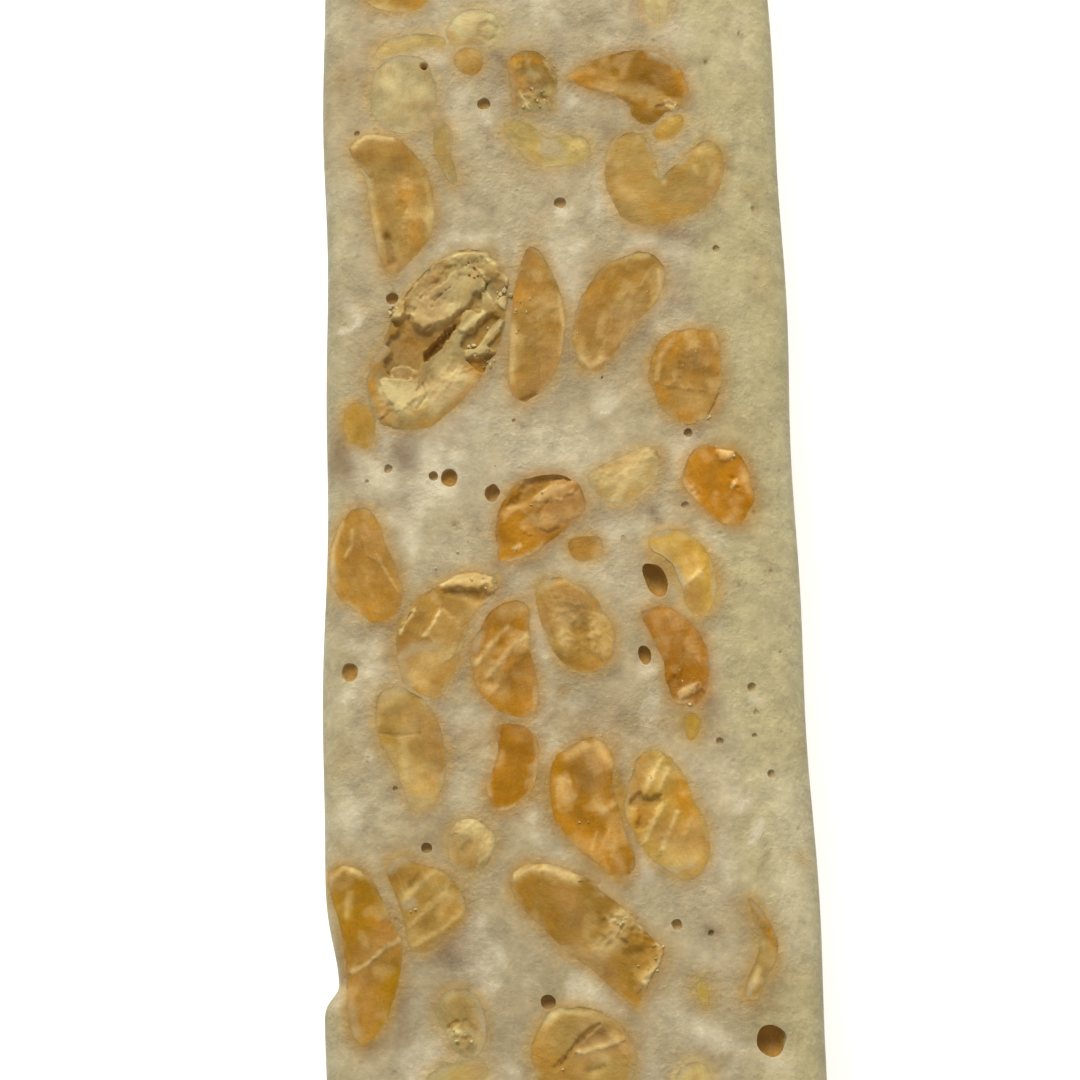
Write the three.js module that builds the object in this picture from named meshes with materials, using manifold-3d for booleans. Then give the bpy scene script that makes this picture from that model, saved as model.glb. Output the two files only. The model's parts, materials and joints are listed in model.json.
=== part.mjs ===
// A bar of white nougat with roasted peanuts, knife-cut so that the nuts lie flush in its top face.
// Millimetres, +Z up, the bar's length along Y. The origin is the centre of its footprint.

import * as THREE from "three";
import { mergeVertices } from "three/addons/utils/BufferGeometryUtils.js";
import Module from "manifold-3d";

const wasm = await Module();
wasm.setup();

// ---------------------------------------------------------------- driving dimensions

const BAR_LONG = 130;
const BAR_WIDE = 36;
const BAR_HIGH = 18;

// The rind along the right edge is broad and soft, the one along the left edge narrow.
const RIGHT_SHOULDER = { wide: 7, high: 3.2, steps: 6 };
const LEFT_SHOULDER = { wide: 2.2, high: 2.2, steps: 4 };
const BASE_ROUND = { wide: 1.2, high: 1.2, steps: 2 };
const END_BREAK = 0.6;

// The long sides wander by a few tenths, as pressed nougat does.
const SIDE_WAVES = [
  { length: 61, height: 0.16, phase: 0.6 },
  { length: 23, height: 0.1, phase: 2.1 },
];
const RIGHT_WAVE_SHIFT = 1.3;
const STATION_STEP = 3.4;

// A dent in the left side, with a short bulge on its near side.
const LEFT_DENT = { at: -34.6, deep: 1.25, far_reach: 4.2, near_reach: 1.2 };

const NUT_GAP = 0.3;
const SIDE_OF_OUTLINE = 1.9;

// A nut below the cut face: its outline's share at a share of its depth.
const BOWL = [{ share: 0.55, down: 0.86 }, { share: 0.88, down: 0.5 }];
const SMALL_BOWL = [{ share: 0.72, down: 0.72 }];
const SMALL_NUT = 6;
const DEPTH_SHARE = 0.85;
const DEEPEST_NUT = 4.6;
const NUT_LID = 1.2;

// ---------------------------------------------------------------- peanuts

// at: centre on its face, along and across; turn: degrees from the first axis to the nut's long
// axis; taper: how much wider its second end is; hollow: how much of the side on the right of the
// axis is scooped away, 0.5 for a straight side; square: 1 for an oval, less for a blunter one.
const TOP_NUTS = [
  { name: "peanut_far_cut", at: [-12.0, 43.5], long: 5.3, wide: 3.8, turn: 0, kind: "golden" },
  { name: "peanut_disc", at: [-11.7, 34.3], long: 7.0, wide: 5.4, turn: -90, kind: "pale" },
  { name: "peanut_ring", at: [-5.6, 39.5], long: 4.8, wide: 3.4, turn: 0, kind: "pale" },
  { name: "peanut_crumbly", at: [-1.3, 35.3], long: 5.6, wide: 4.3, turn: -91, kind: "golden" },
  { name: "peanut_double", at: [-0.3, 30.2], long: 7.1, wide: 3.4, turn: -17, kind: "pale" },
  {
    name: "peanut_wedge", at: [6.4, 34.6], long: 10.2, wide: 5.0, turn: -10, kind: "golden",
    taper: 0.7, hollow: 0.22,
  },
  {
    name: "peanut_heart", at: [9.1, 26.5], long: 9.4, wide: 8.0, turn: -1, kind: "tan",
    notch: { at: -0.1, wide: 3.8, deep: 4.1 },
  },
  {
    name: "peanut_boot", at: [-12.8, 24.7], long: 12.0, wide: 5.2, turn: -83, kind: "tan",
    taper: -0.3, hollow: 0.12,
  },
  { name: "peanut_oblong", at: [5.3, 15.6], long: 10.8, wide: 4.9, turn: -114, square: 0.8, kind: "tan" },
  { name: "peanut_half_moon", at: [-1.9, 14.5], long: 13.0, wide: 4.1, turn: -94, hollow: 0.26, kind: "tan" },
  {
    name: "peanut_broken", at: [-9.0, 13.6], long: 15.9, wide: 7.3, turn: 48, deep: 5.4, kind: "pale",
    cavity: { at: [-0.6, 0.4], long: 9.0, wide: 2.3, deep: 3.2, turn: -12 },
  },
  {
    name: "peanut_cup", at: [10.0, 10.2], long: 7.9, wide: 5.5, turn: -98, kind: "tan",
    cavity: { at: [-0.4, 0.2], long: 3.0, wide: 1.3, deep: 1.1, turn: -35 },
  },
  { name: "peanut_vivid", at: [12.1, 1.2], long: 6.6, wide: 5.2, turn: -76, kind: "amber" },
  { name: "peanut_bean", at: [4.9, 2.9], long: 5.9, wide: 3.5, turn: 24, hollow: -0.18, kind: "pale" },
  { name: "peanut_flaked", at: [-1.4, -0.9], long: 8.2, wide: 4.8, turn: 45, kind: "golden" },
  {
    name: "peanut_egg", at: [-14.7, -4.6], long: 9.3, wide: 5.4, turn: -87, kind: "golden",
    taper: 0.25,
  },
  { name: "peanut_crescent", at: [8.9, -5.5], long: 7.2, wide: 3.3, turn: -65, hollow: 0.4, kind: "pale" },
  { name: "peanut_wrinkled", at: [0.9, -9.4], long: 7.5, wide: 5.6, turn: -74, kind: "tan" },
  { name: "peanut_ridged", at: [-9.0, -10.3], long: 10.2, wide: 4.6, turn: -122, kind: "tan" },
  { name: "peanut_streaked", at: [-3.9, -11.9], long: 9.4, wide: 4.5, turn: -97, kind: "golden" },
  { name: "peanut_torn_moon", at: [8.0, -12.2], long: 7.8, wide: 3.4, turn: -67, hollow: 0.22, kind: "golden" },
  { name: "peanut_two_tone", at: [-11.9, -18.6], long: 9.3, wide: 4.6, turn: -73, kind: "tan" },
  { name: "peanut_kidney", at: [-4.4, -19.9], long: 6.9, wide: 3.7, turn: -93, hollow: 0.18, kind: "amber" },
  { name: "peanut_hollowed", at: [2.2, -23.1], long: 10.6, wide: 5.3, turn: -81, kind: "golden" },
  {
    name: "peanut_pitted", at: [8.0, -23.7], long: 10.2, wide: 5.0, turn: -73, kind: "golden",
    cavity: { at: [-2.0, -0.6], long: 2.8, wide: 1.4, deep: 1.2, turn: 20 },
  },
  { name: "peanut_round", at: [-7.1, -25.9], long: 4.3, wide: 3.8, turn: -91, kind: "pale" },
  {
    name: "peanut_side_long", at: [-15.1, -33.4], long: 13.1, wide: 4.3, turn: -84, kind: "amber",
    taper: 0.08,
  },
  { name: "peanut_striped", at: [-10.2, -30.2], long: 7.2, wide: 4.1, turn: -124, kind: "golden" },
  { name: "peanut_largest", at: [0.8, -32.4], long: 13.6, wide: 5.7, turn: -45, hollow: 0.12, kind: "tan" },
  { name: "peanut_sliver", at: [13.0, -33.6], long: 7.6, wide: 2.2, turn: -90, hollow: 0.6, kind: "tan" },
  { name: "peanut_crumbs", at: [-8.1, -38.2], long: 5.4, wide: 3.6, turn: -76, kind: "pale" },
  { name: "peanut_small_near", at: [-8.3, -42.3], long: 4.8, wide: 2.5, turn: 19, kind: "pale" },
  {
    name: "peanut_split", at: [0.6, -40.9], long: 7.2, wide: 7.4, turn: -93, kind: "tan",
    cavity: { at: [0.1, 0.2], long: 4.4, wide: 1.0, deep: 1.3, turn: -40 },
  },
  { name: "peanut_near_right", at: [8.2, -43.1], long: 3.6, wide: 3.1, turn: -92, kind: "pale" },
];

// The rest of the bar holds nuts of the same kinds, spread by rule: one in each cell of a stretch
// of a face, within these limits and lengths.
const SCATTERED = [
  { name: "far", face: "top", cells: [3, 2], from: [-16.5, 46.5], to: [12.5, 64.5], long: [6.5, 10], seed: 14 },
  { name: "near", face: "top", cells: [3, 2], from: [-16.5, -64.5], to: [12.5, -46], long: [6.5, 10], seed: 7 },
  { name: "far_end", face: "far", cells: [2, 1], from: [-15, 4], to: [15, 13], long: [7, 10], seed: 5 },
  { name: "near_end", face: "near", cells: [2, 1], from: [-15, 4], to: [15, 13], long: [7, 10], seed: 9 },
  { name: "left", face: "left", cells: [3, 1], from: [-60, 4], to: [60, 13], long: [6, 9], seed: 3 },
  { name: "right", face: "right", cells: [2, 1], from: [-55, 4], to: [55, 13], long: [6, 9], seed: 8 },
  { name: "base", face: "base", cells: [1, 4], from: [-14, -58], to: [14, 58], long: [7, 10], seed: 21 },
];
const SCATTER_CLEAR = 1.6;
const CELL_MIDDLE = [0.25, 0.75];
const SCATTER_SHAPE = { slender: [0.42, 0.62], taper: [-0.25, 0.25], hollow: [-0.25, 0.25] };
const SIDE_NUT = { deep: 2.6, reach: 0.6, tilt: 0.25 };
const SCATTER_KINDS = ["tan", "golden", "pale", "tan", "amber", "golden"];

// Large gas bubbles that the knife opened in the top face.
const BUBBLES = [
  { at: [7.2, -6.0], wide: 2.0, long: 2.9, deep: 2.2 },
  { at: [14.2, -40.1], wide: 2.4, long: 2.2, deep: 1.9 },
  { at: [6.0, -11.8], wide: 1.5, long: 1.3, deep: 1.2 },
  { at: [-8.4, 2.4], wide: 1.4, long: 1.3, deep: 1.0 },
  { at: [-16.0, -12.5], wide: 1.4, long: 1.4, deep: 1.0 },
  { at: [-5.1, 1.2], wide: 1.2, long: 1.5, deep: 1.3 },
];

const LOOKS = {
  nougat: { color: 0xc2b28a, roughness: 0.62 },
  pale: { color: 0xcfae6e, roughness: 0.5 },
  tan: { color: 0xb5874a, roughness: 0.45 },
  golden: { color: 0xba8338, roughness: 0.42 },
  amber: { color: 0xb87a22, roughness: 0.4 },
};

// ---------------------------------------------------------------- surfaces and solids

/** Skin over a stack of rings with equal point counts, closed by a fan to a pole at each end. */
function loft(rings, first_pole, last_pole) {
  const count = rings[0].length;
  const points = [first_pole, ...rings.flat(), last_pole];
  const index = [];
  const at = (ring, step) => 1 + ring * count + (step % count);
  for (let step = 0; step < count; step += 1) {
    index.push(0, at(0, step + 1), at(0, step));
    for (let ring = 0; ring + 1 < rings.length; ring += 1) {
      index.push(at(ring, step), at(ring, step + 1), at(ring + 1, step + 1));
      index.push(at(ring, step), at(ring + 1, step + 1), at(ring + 1, step));
    }
    index.push(points.length - 1, at(rings.length - 1, step), at(rings.length - 1, step + 1));
  }
  const geometry = new THREE.BufferGeometry().setFromPoints(points);
  geometry.setIndex(index);
  return geometry;
}

function solidOf(geometry) {
  geometry.deleteAttribute("normal");
  geometry.deleteAttribute("uv");
  const merged = mergeVertices(geometry);
  return new wasm.Manifold(new wasm.Mesh({
    numProp: 3,
    vertProperties: new Float32Array(merged.attributes.position.array),
    triVerts: new Uint32Array(merged.index.array),
  }));
}

function geometryOf(solid) {
  const mesh = solid.getMesh();
  const geometry = new THREE.BufferGeometry();
  geometry.setAttribute("position", new THREE.BufferAttribute(mesh.vertProperties, 3));
  geometry.setIndex(new THREE.BufferAttribute(mesh.triVerts, 1));
  geometry.computeVertexNormals();
  return geometry;
}

/** The largest body of a cut solid: the thin scraps between two pockets fall away. */
function largestBody(solid) {
  return solid.decompose().sort((a, b) => b.volume() - a.volume())[0];
}

// ---------------------------------------------------------------- the bar's blank

function sideWave(y, shift) {
  return SIDE_WAVES.reduce(
    (sum, wave) => sum + wave.height * Math.sin((2 * Math.PI * y) / wave.length + wave.phase + shift),
    0,
  );
}

function leftDent(y) {
  const reach = y > LEFT_DENT.at ? LEFT_DENT.far_reach : LEFT_DENT.near_reach;
  return LEFT_DENT.deep * Math.exp(-(((y - LEFT_DENT.at) / reach) ** 2));
}

/** A quarter oval from one axis to the other, as [across, up] shares of its width and height. */
function quarterRound(round, rising) {
  const points = [];
  for (let step = 0; step <= round.steps; step += 1) {
    const angle = ((rising ? step : round.steps - step) / round.steps) * (Math.PI / 2);
    points.push([(1 - Math.cos(angle)) * round.wide, (1 - Math.sin(angle)) * round.high]);
  }
  return points;
}

/** One closed section of the bar at y, clockwise seen from the near end, pulled in by inset. */
function barSection(y, inset) {
  const left = -BAR_WIDE / 2 + sideWave(y, 0) + leftDent(y) + inset;
  const right = BAR_WIDE / 2 + sideWave(y, RIGHT_WAVE_SHIFT) - inset;
  const top = BAR_HIGH - inset;
  const base = inset;
  const corners = [
    ...quarterRound(LEFT_SHOULDER, true).map(([across, down]) => [left + across, top - down]),
    ...quarterRound(RIGHT_SHOULDER, false).map(([across, down]) => [right - across, top - down]),
    ...quarterRound(BASE_ROUND, true).map(([across, up]) => [right - across, base + up]),
    ...quarterRound(BASE_ROUND, false).map(([across, up]) => [left + across, base + up]),
  ];
  return corners.map(([x, z]) => new THREE.Vector3(x, y, z));
}

function barBlank() {
  const half = BAR_LONG / 2;
  const sections = [barSection(-half, END_BREAK)];
  const inner = half - END_BREAK;
  const stations = Math.round((2 * inner) / STATION_STEP);
  for (let station = 0; station <= stations; station += 1) {
    sections.push(barSection(-inner + (2 * inner * station) / stations, 0));
  }
  sections.push(barSection(half, END_BREAK));
  const middle = BAR_HIGH / 2;
  return solidOf(loft(sections, new THREE.Vector3(0, -half, middle), new THREE.Vector3(0, half, middle)));
}

// ---------------------------------------------------------------- one peanut

/** How deep a V-shaped notch cuts into the nut's left side at a place along its axis. */
function notchDepth(notch, along) {
  return notch ? notch.deep * Math.max(0, 1 - Math.abs(along - notch.at) / (notch.wide / 2)) : 0;
}

/** The nut's outline where the knife cut it: an oval, tapered, scooped on one side and notched. */
function nutOutline(nut) {
  const { long, wide, taper = 0, hollow = 0, square = 1, notch } = nut;
  const scoop = Math.abs(hollow);
  const half_wide = scoop < 0.5 ? wide / (2 - 2 * scoop) : wide;
  const shift = scoop < 0.5 ? half_wide * scoop : half_wide / 2;
  const side = hollow < 0 ? -1 : 1;
  const count = 4 * Math.max(3, Math.round(((long + wide) * 1.5) / SIDE_OF_OUTLINE / 4));
  const points = [];
  for (let step = 0; step < count; step += 1) {
    const angle = (2 * Math.PI * step) / count;
    const swell = Math.sign(Math.sin(angle)) * Math.abs(Math.sin(angle)) ** square;
    const share = swell * side > 0 ? 1 : 1 - 2 * scoop;
    const along = (long / 2) * Math.cos(angle);
    let across = half_wide * swell * share * (1 + taper * Math.cos(angle)) - side * shift;
    if (swell > 0) {
      across -= notchDepth(notch, along);
    }
    points.push(new THREE.Vector2(along, across));
  }
  return points;
}

/** The outline moved outwards by a distance, each corner along its mitre. */
function widened(outline, distance) {
  const count = outline.length;
  return outline.map((point, step) => {
    const before = point.clone().sub(outline[(step + count - 1) % count]).normalize();
    const after = outline[(step + 1) % count].clone().sub(point).normalize();
    const normal = new THREE.Vector2(before.y + after.y, -before.x - after.x).normalize();
    const mitre = Math.max(0.5, normal.dot(new THREE.Vector2(after.y, -after.x)));
    return point.clone().addScaledVector(normal, distance / mitre);
  });
}

/** A bowl below the cut face, widest where it is cut, with a short lid that the bar's face trims. */
function nutBlob(nut, grow) {
  const deep = (nut.deep ?? Math.min(DEEPEST_NUT, DEPTH_SHARE * nut.wide)) + grow;
  const outline = widened(nutOutline(nut), grow);
  const lid = NUT_LID + (nut.reach ?? 0);
  const bowl = nut.long > SMALL_NUT ? BOWL : SMALL_BOWL;
  const levels = [...bowl, { share: 1, down: 0 }, { share: 0.96, down: -lid / deep }];
  const rings = levels.map(({ share, down }) =>
    outline.map((point) => new THREE.Vector3(point.x * share, point.y * share, -down * deep)));
  return loft(rings, new THREE.Vector3(0, 0, -deep), new THREE.Vector3(0, 0, lid));
}

/** An oval pit, longest along its own turn, centred on the face it opens in. */
function pit({ at, long, wide, deep, turn = 0 }) {
  return new THREE.SphereGeometry(1, 8, 6)
    .rotateX(Math.PI / 2)
    .scale(long / 2, wide / 2, deep)
    .rotateZ(THREE.MathUtils.degToRad(turn))
    .translate(at[0], at[1], 0);
}

// ---------------------------------------------------------------- the faces that nuts lie in

const FACES = {
  top: { u: [1, 0, 0], v: [0, 1, 0], out: [0, 0, 1], origin: [0, 0, BAR_HIGH] },
  base: { u: [1, 0, 0], v: [0, -1, 0], out: [0, 0, -1], origin: [0, 0, 0] },
  far: { u: [-1, 0, 0], v: [0, 0, 1], out: [0, 1, 0], origin: [0, BAR_LONG / 2, 0] },
  near: { u: [1, 0, 0], v: [0, 0, 1], out: [0, -1, 0], origin: [0, -BAR_LONG / 2, 0] },
  left: { u: [0, -1, 0], v: [0, 0, 1], out: [-1, 0, 0], origin: [-BAR_WIDE / 2, 0, 0] },
  right: { u: [0, 1, 0], v: [0, 0, 1], out: [1, 0, 0], origin: [BAR_WIDE / 2, 0, 0] },
};

/** The placement of a nut: its face's frame, moved to its centre and turned about the normal. */
function placement(nut) {
  const face = FACES[nut.face ?? "top"];
  const vector = (list) => new THREE.Vector3(...list);
  const frame = new THREE.Matrix4().makeBasis(vector(face.u), vector(face.v), vector(face.out));
  const turned = new THREE.Matrix4().makeRotationZ(THREE.MathUtils.degToRad(nut.turn));
  const moved = new THREE.Matrix4().makeTranslation(nut.at[0], nut.at[1], 0);
  const origin = new THREE.Matrix4().makeTranslation(...face.origin);
  return origin.multiply(frame).multiply(moved).multiply(turned);
}

// ---------------------------------------------------------------- nuts spread by rule

/** A repeatable random draw between 0 and 1 (mulberry32). */
function seededDraw(seed) {
  let state = seed;
  return () => {
    state = (state + 0x6d2b79f5) | 0;
    let mixed = Math.imul(state ^ (state >>> 15), 1 | state);
    mixed = (mixed + Math.imul(mixed ^ (mixed >>> 7), 61 | mixed)) ^ mixed;
    return ((mixed ^ (mixed >>> 14)) >>> 0) / 4294967296;
  };
}

/** Three places along a nut's axis, to test how near two nuts come. */
function spine(nut) {
  const turn = THREE.MathUtils.degToRad(nut.turn);
  const reach = Math.max(0, (nut.long - nut.wide) / 2);
  return [-1, -0.5, 0, 0.5, 1].map((share) => new THREE.Vector2(
    nut.at[0] + share * reach * Math.cos(turn),
    nut.at[1] + share * reach * Math.sin(turn),
  ));
}

function clearOf(nut, others) {
  return others.every((other) => {
    const room = (nut.wide + other.wide) / 2 + SCATTER_CLEAR;
    return spine(nut).every((a) => spine(other).every((b) => a.distanceTo(b) > room));
  });
}

/** One nut in each cell of the stretch, drawn again until it is clear of the others on its face. */
function scatter(stretch, placed) {
  const draw = seededDraw(stretch.seed);
  const between = ([low, high]) => low + (high - low) * draw();
  const { from, to, cells } = stretch;
  const inCell = (axis, cell) => {
    const share = (cell + between(CELL_MIDDLE)) / cells[axis];
    return from[axis] + (to[axis] - from[axis]) * share;
  };
  const nuts = [];
  while (nuts.length < cells[0] * cells[1]) {
    const long = between(stretch.long);
    const nut = {
      name: `peanut_${stretch.name}_${nuts.length + 1}`,
      face: stretch.face,
      at: [inCell(0, nuts.length % cells[0]), inCell(1, Math.floor(nuts.length / cells[0]))],
      long,
      wide: long * between(SCATTER_SHAPE.slender),
      turn: between([-90, 90]),
      taper: between(SCATTER_SHAPE.taper),
      hollow: between(SCATTER_SHAPE.hollow),
      kind: SCATTER_KINDS[nuts.length % SCATTER_KINDS.length],
    };
    if (stretch.face !== "top") {
      nut.turn *= stretch.face === "base" ? 1 : SIDE_NUT.tilt;
      nut.deep = SIDE_NUT.deep;
      nut.reach = SIDE_NUT.reach;
    }
    if (clearOf(nut, [...nuts, ...placed.filter((other) => (other.face ?? "top") === nut.face)])) {
      nuts.push(nut);
    }
  }
  return nuts;
}

// ---------------------------------------------------------------- the bar

const nuts = [...TOP_NUTS];
for (const stretch of SCATTERED) {
  nuts.push(...scatter(stretch, nuts));
}

const materials = Object.fromEntries(Object.entries(LOOKS).map(
  ([slot, look]) => [slot, new THREE.MeshStandardMaterial({ ...look, metalness: 0 })],
));

const blank = barBlank();
let nougat = blank;
const peanuts = new THREE.Group();
const pockets = [];

for (const nut of nuts) {
  const place = placement(nut);
  let kernel = solidOf(nutBlob(nut, 0).applyMatrix4(place)).intersect(blank);
  for (const pocket of pockets) {
    kernel = kernel.subtract(pocket);
  }
  if (nut.cavity) {
    kernel = kernel.subtract(solidOf(pit(nut.cavity).applyMatrix4(place)));
  }
  pockets.push(solidOf(nutBlob(nut, NUT_GAP).applyMatrix4(place)));
  const geometry = geometryOf(largestBody(kernel)).applyMatrix4(place.clone().invert());
  const mesh = new THREE.Mesh(geometry, materials[nut.kind]);
  mesh.name = nut.name;
  mesh.applyMatrix4(place);
  peanuts.add(mesh);
}

for (const pocket of pockets) {
  nougat = nougat.subtract(pocket);
}
for (const bubble of BUBBLES) {
  const hollow = pit({ ...bubble, long: bubble.wide, wide: bubble.long });
  nougat = nougat.subtract(solidOf(hollow.translate(0, 0, BAR_HIGH)));
}

const block = new THREE.Mesh(geometryOf(largestBody(nougat)), materials.nougat);
block.name = "nougat";

const bar = new THREE.Group();
bar.add(block, peanuts);

// The origin stays in the middle of the footprint, wherever the waves of the sides put it.
const middle = new THREE.Box3().setFromObject(bar, true).getCenter(new THREE.Vector3());
bar.position.set(-middle.x, -middle.y, 0);

export default bar;
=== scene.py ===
"""A bar of white nougat with roasted peanuts, knife-cut so that the nuts lie flush in its top face.

Blender 4.5. Sizes below are millimetres and are turned to metres where a mesh is made.
"""

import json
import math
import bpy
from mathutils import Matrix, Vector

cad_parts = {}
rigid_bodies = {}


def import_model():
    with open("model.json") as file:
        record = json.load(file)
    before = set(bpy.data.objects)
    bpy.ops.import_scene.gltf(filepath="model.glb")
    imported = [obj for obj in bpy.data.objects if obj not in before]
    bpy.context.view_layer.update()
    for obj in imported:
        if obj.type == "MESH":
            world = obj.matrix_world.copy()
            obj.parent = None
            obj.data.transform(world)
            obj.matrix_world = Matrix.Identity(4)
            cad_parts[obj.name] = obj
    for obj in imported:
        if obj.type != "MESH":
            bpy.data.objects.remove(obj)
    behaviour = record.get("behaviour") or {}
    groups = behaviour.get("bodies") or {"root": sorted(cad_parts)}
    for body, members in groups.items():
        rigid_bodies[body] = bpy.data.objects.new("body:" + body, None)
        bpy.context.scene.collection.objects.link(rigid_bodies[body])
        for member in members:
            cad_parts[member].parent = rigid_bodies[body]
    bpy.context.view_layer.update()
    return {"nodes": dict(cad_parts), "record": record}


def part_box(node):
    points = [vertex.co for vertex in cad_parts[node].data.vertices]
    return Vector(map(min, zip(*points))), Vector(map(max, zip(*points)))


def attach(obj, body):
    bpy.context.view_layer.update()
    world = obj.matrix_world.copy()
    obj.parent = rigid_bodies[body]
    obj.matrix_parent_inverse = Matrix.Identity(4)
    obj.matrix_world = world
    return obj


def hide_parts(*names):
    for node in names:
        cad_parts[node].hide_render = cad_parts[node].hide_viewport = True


bl_info = {
    "name": "Nougat bar",
    "version": (1, 0, 0),
    "blender": (4, 5, 0),
    "location": "View3D > Sidebar > Nougat",
    "description": "Models and dresses a bar of white nougat with roasted peanuts",
    "category": "Add Mesh",
}

import bmesh
import bpy
import numpy as np
from mathutils import Vector
from mathutils.geometry import delaunay_2d_cdt

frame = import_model()
NODES = frame["nodes"]
MM = 0.001

# ---------------------------------------------------------------- the bar's own sizes, as in the solids

BAR_LOW, BAR_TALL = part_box("nougat")
HALF_LONG = BAR_TALL.y / MM
BAR_HIGH = BAR_TALL.z / MM
HALF_WIDE = 18.0
RIGHT_SHOULDER = {"wide": 7.0, "high": 3.2}
LEFT_SHOULDER = {"wide": 2.2, "high": 2.2}
BASE_ROUND = 1.2
END_BREAK = 0.6
END_DRAWN_FROM = 14.0
BASE_LUMPS = {"size": 5.0, "high": 0.05, "seed": 8}
END_MIDDLE = 9.0
END_HOLLOW = 0.1
SIDE_WAVES = ((61.0, 0.16, 0.6), (23.0, 0.1, 2.1))
RIGHT_WAVE_SHIFT = 1.3
RIGHT_SWELL = {"mean": 0.42, "high": 0.26, "long": 60.5, "at": 25.7}
LEFT_DENT = {"at": -35.5, "deep": 1.1, "far_reach": 4.2, "near_reach": 1.1}

# How far apart the points of each surface lie, and how many steps each rounding has.
TOP_STEP = 0.3
LENGTH_STEP = 0.38
WALL_STEP = 0.8
BASE_STEP = 2.5
END_STEP = 0.6
LEFT_TURN = 10
RIGHT_TURN = 24
BASE_TURN = 4
END_TURN = 3

# Each sort of nut and chip: the steps over its cut face and round its rim, how far the rim strays, and the
# gap it keeps from its neighbours.
CUT_NUT = {"face": 0.1, "rim": 0.16, "stray": 0.085, "gap": 0.05}
PLAIN_NUT = {"face": 0.2, "rim": 0.25, "stray": 0.12, "gap": 0.05}
CUT_CHIP = {"face": 0.12, "rim": 0.16, "stray": 0.04, "gap": 0.06}
LOOSE_CHIP = {"face": 0.2, "rim": 0.2, "stray": 0.06, "gap": 0.5}

# ---------------------------------------------------------------- colours and lights

# Roasted peanut flesh, from creamy to deeply roasted, and what its marks turn towards.
FLESH = {
    "straw": "#b09752",
    "butter": "#caa84c",
    "biscuit": "#b38f4a",
    "beige": "#a58b51",
    "honey": "#af8739",
    "caramel": "#a8833c",
    "orange": "#a97a14",
    "cream": "#ecdca4",
    "amber": "#ba821c",
    "tan": "#b08a58",
    "brown": "#86601c",
    "pit": "#b08842",
    "cavity": "#62360f",
}
TINT = {
    "heart": "#b4a784",
    "rosy": "#a99c7d",
    "chalk": "#dad1b4",
    "rind": "#bbb085",
    "tan": "#a68c5c",
    "shade": "#8d785a",
    "umber": "#7b6446",
    "hollow": "#a67f3a",
    "smear": "#b9a983",
}
PEANUT_GLOSS = {"peanut_pale": 0.54, "peanut_tan": 0.5, "peanut_golden": 0.48, "peanut_amber": 0.42}

# The highest that a cut nut stands over the bar's face, and the share of it from which a rise is held back.
TALLEST = 0.34
HELD_FROM = 0.6

PLAIN_FLESH = {
    "peanut_pale": "straw", "peanut_tan": "caramel", "peanut_golden": "honey", "peanut_amber": "orange",
}
PLAIN_FACES = {
    "peanut_far_end": "far", "peanut_near_end": "near", "peanut_left": "left", "peanut_right": "right",
    "peanut_base": "base",
}
SLOT_OF = {part["node"]: part["material_slot"] for part in frame["record"]["subparts"]}

# The right shoulder's rind: where it starts across the bar, how that shifts along it, and how it fades in.
RIND = {"from": 10.6, "slope": -0.02, "fade": 2.6}
# Where the faint shade beside a nut falls.
CAST = (0.45, -0.6)
# How much red, green and blue the painted shade at the nougat's edges takes away, how far in that reaches,
# and where more shade is painted.
EDGE_SHADE_LOSS = (0.32, 0.28, 0.18)
EDGE_REACH = 0.65
LEFT_CORNER = {"extra": 0.3, "from": 8.0, "to": 22.0}
RIGHT_CORNER = {"extra": 0.45, "from": 16.0, "to": 28.0}
# How far a nut's halo, which is partly painted shade, and the stain at its rim reach into the nougat.
HALO_REACH = 1.1
STAIN_REACH = 0.46
# How deep under a face a point still takes the face's colours.
SKIN_DEEP = 0.35
FACE_DEEP = 0.4

# How deep nuts go, and how a pocket fits: drawn in a little, deeper than its nut, and open above the face.
KERNEL_DEPTH = {"peanut_broken": 5.4}
DEEPEST = 4.6
SIDE_DEPTH = 2.6
CHIP_DEPTH = 0.7
DRAWN_IN = 0.03
BELOW_NUT = 0.1
LID = {"top": 0.8, "side": 0.5, "chip": 0.5}
# How far nuts stay inside the top face's left, right and end edges.
TOP_MARGIN = {"left": 0.16, "right": 0.3, "end": 0.9}
# Chips with no place of their own: the face, where on it, and how many.
LOOSE_CHIPS = (
    ("top", (-15.5, 12.0), (45.0, 63.5), 5),
    ("top", (-15.5, 12.0), (-63.5, -45.5), 5),
    ("left", (-62.0, 62.0), (3.5, 14.0), 7),
    ("right", (-62.0, 62.0), (3.5, 12.5), 7),
    ("far", (-15.0, 15.0), (3.5, 13.5), 3),
    ("near", (-15.0, 15.0), (3.5, 13.5), 3),
    ("base", (-15.0, 15.0), (-62.0, 62.0), 8),
)
LOOSE_HALF_LONG = (0.8, 1.9)
LOOSE_SLIM = (0.4, 0.8)
LOOSE_TONES = ("orange", "butter", "caramel", "biscuit")

# Seeds of the random draws, and how far apart two nuts' seeds lie.
FIRST_SEED = 100
SEED_STEP = 20
BLOCK_SEED = 50
CHIP_SEED = 77
CRUMB_SEED = 5

CAMERA = {"place": (-2.49, -42.9, 177.0), "turn": (14.19, 0.0, -1.38)}
LAMP_PLACE = (-180.0, 900.0, 870.0)
LAMP_COLOUR = "#fff8ee"
SKY_COLOUR = "#fffdf8"
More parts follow.
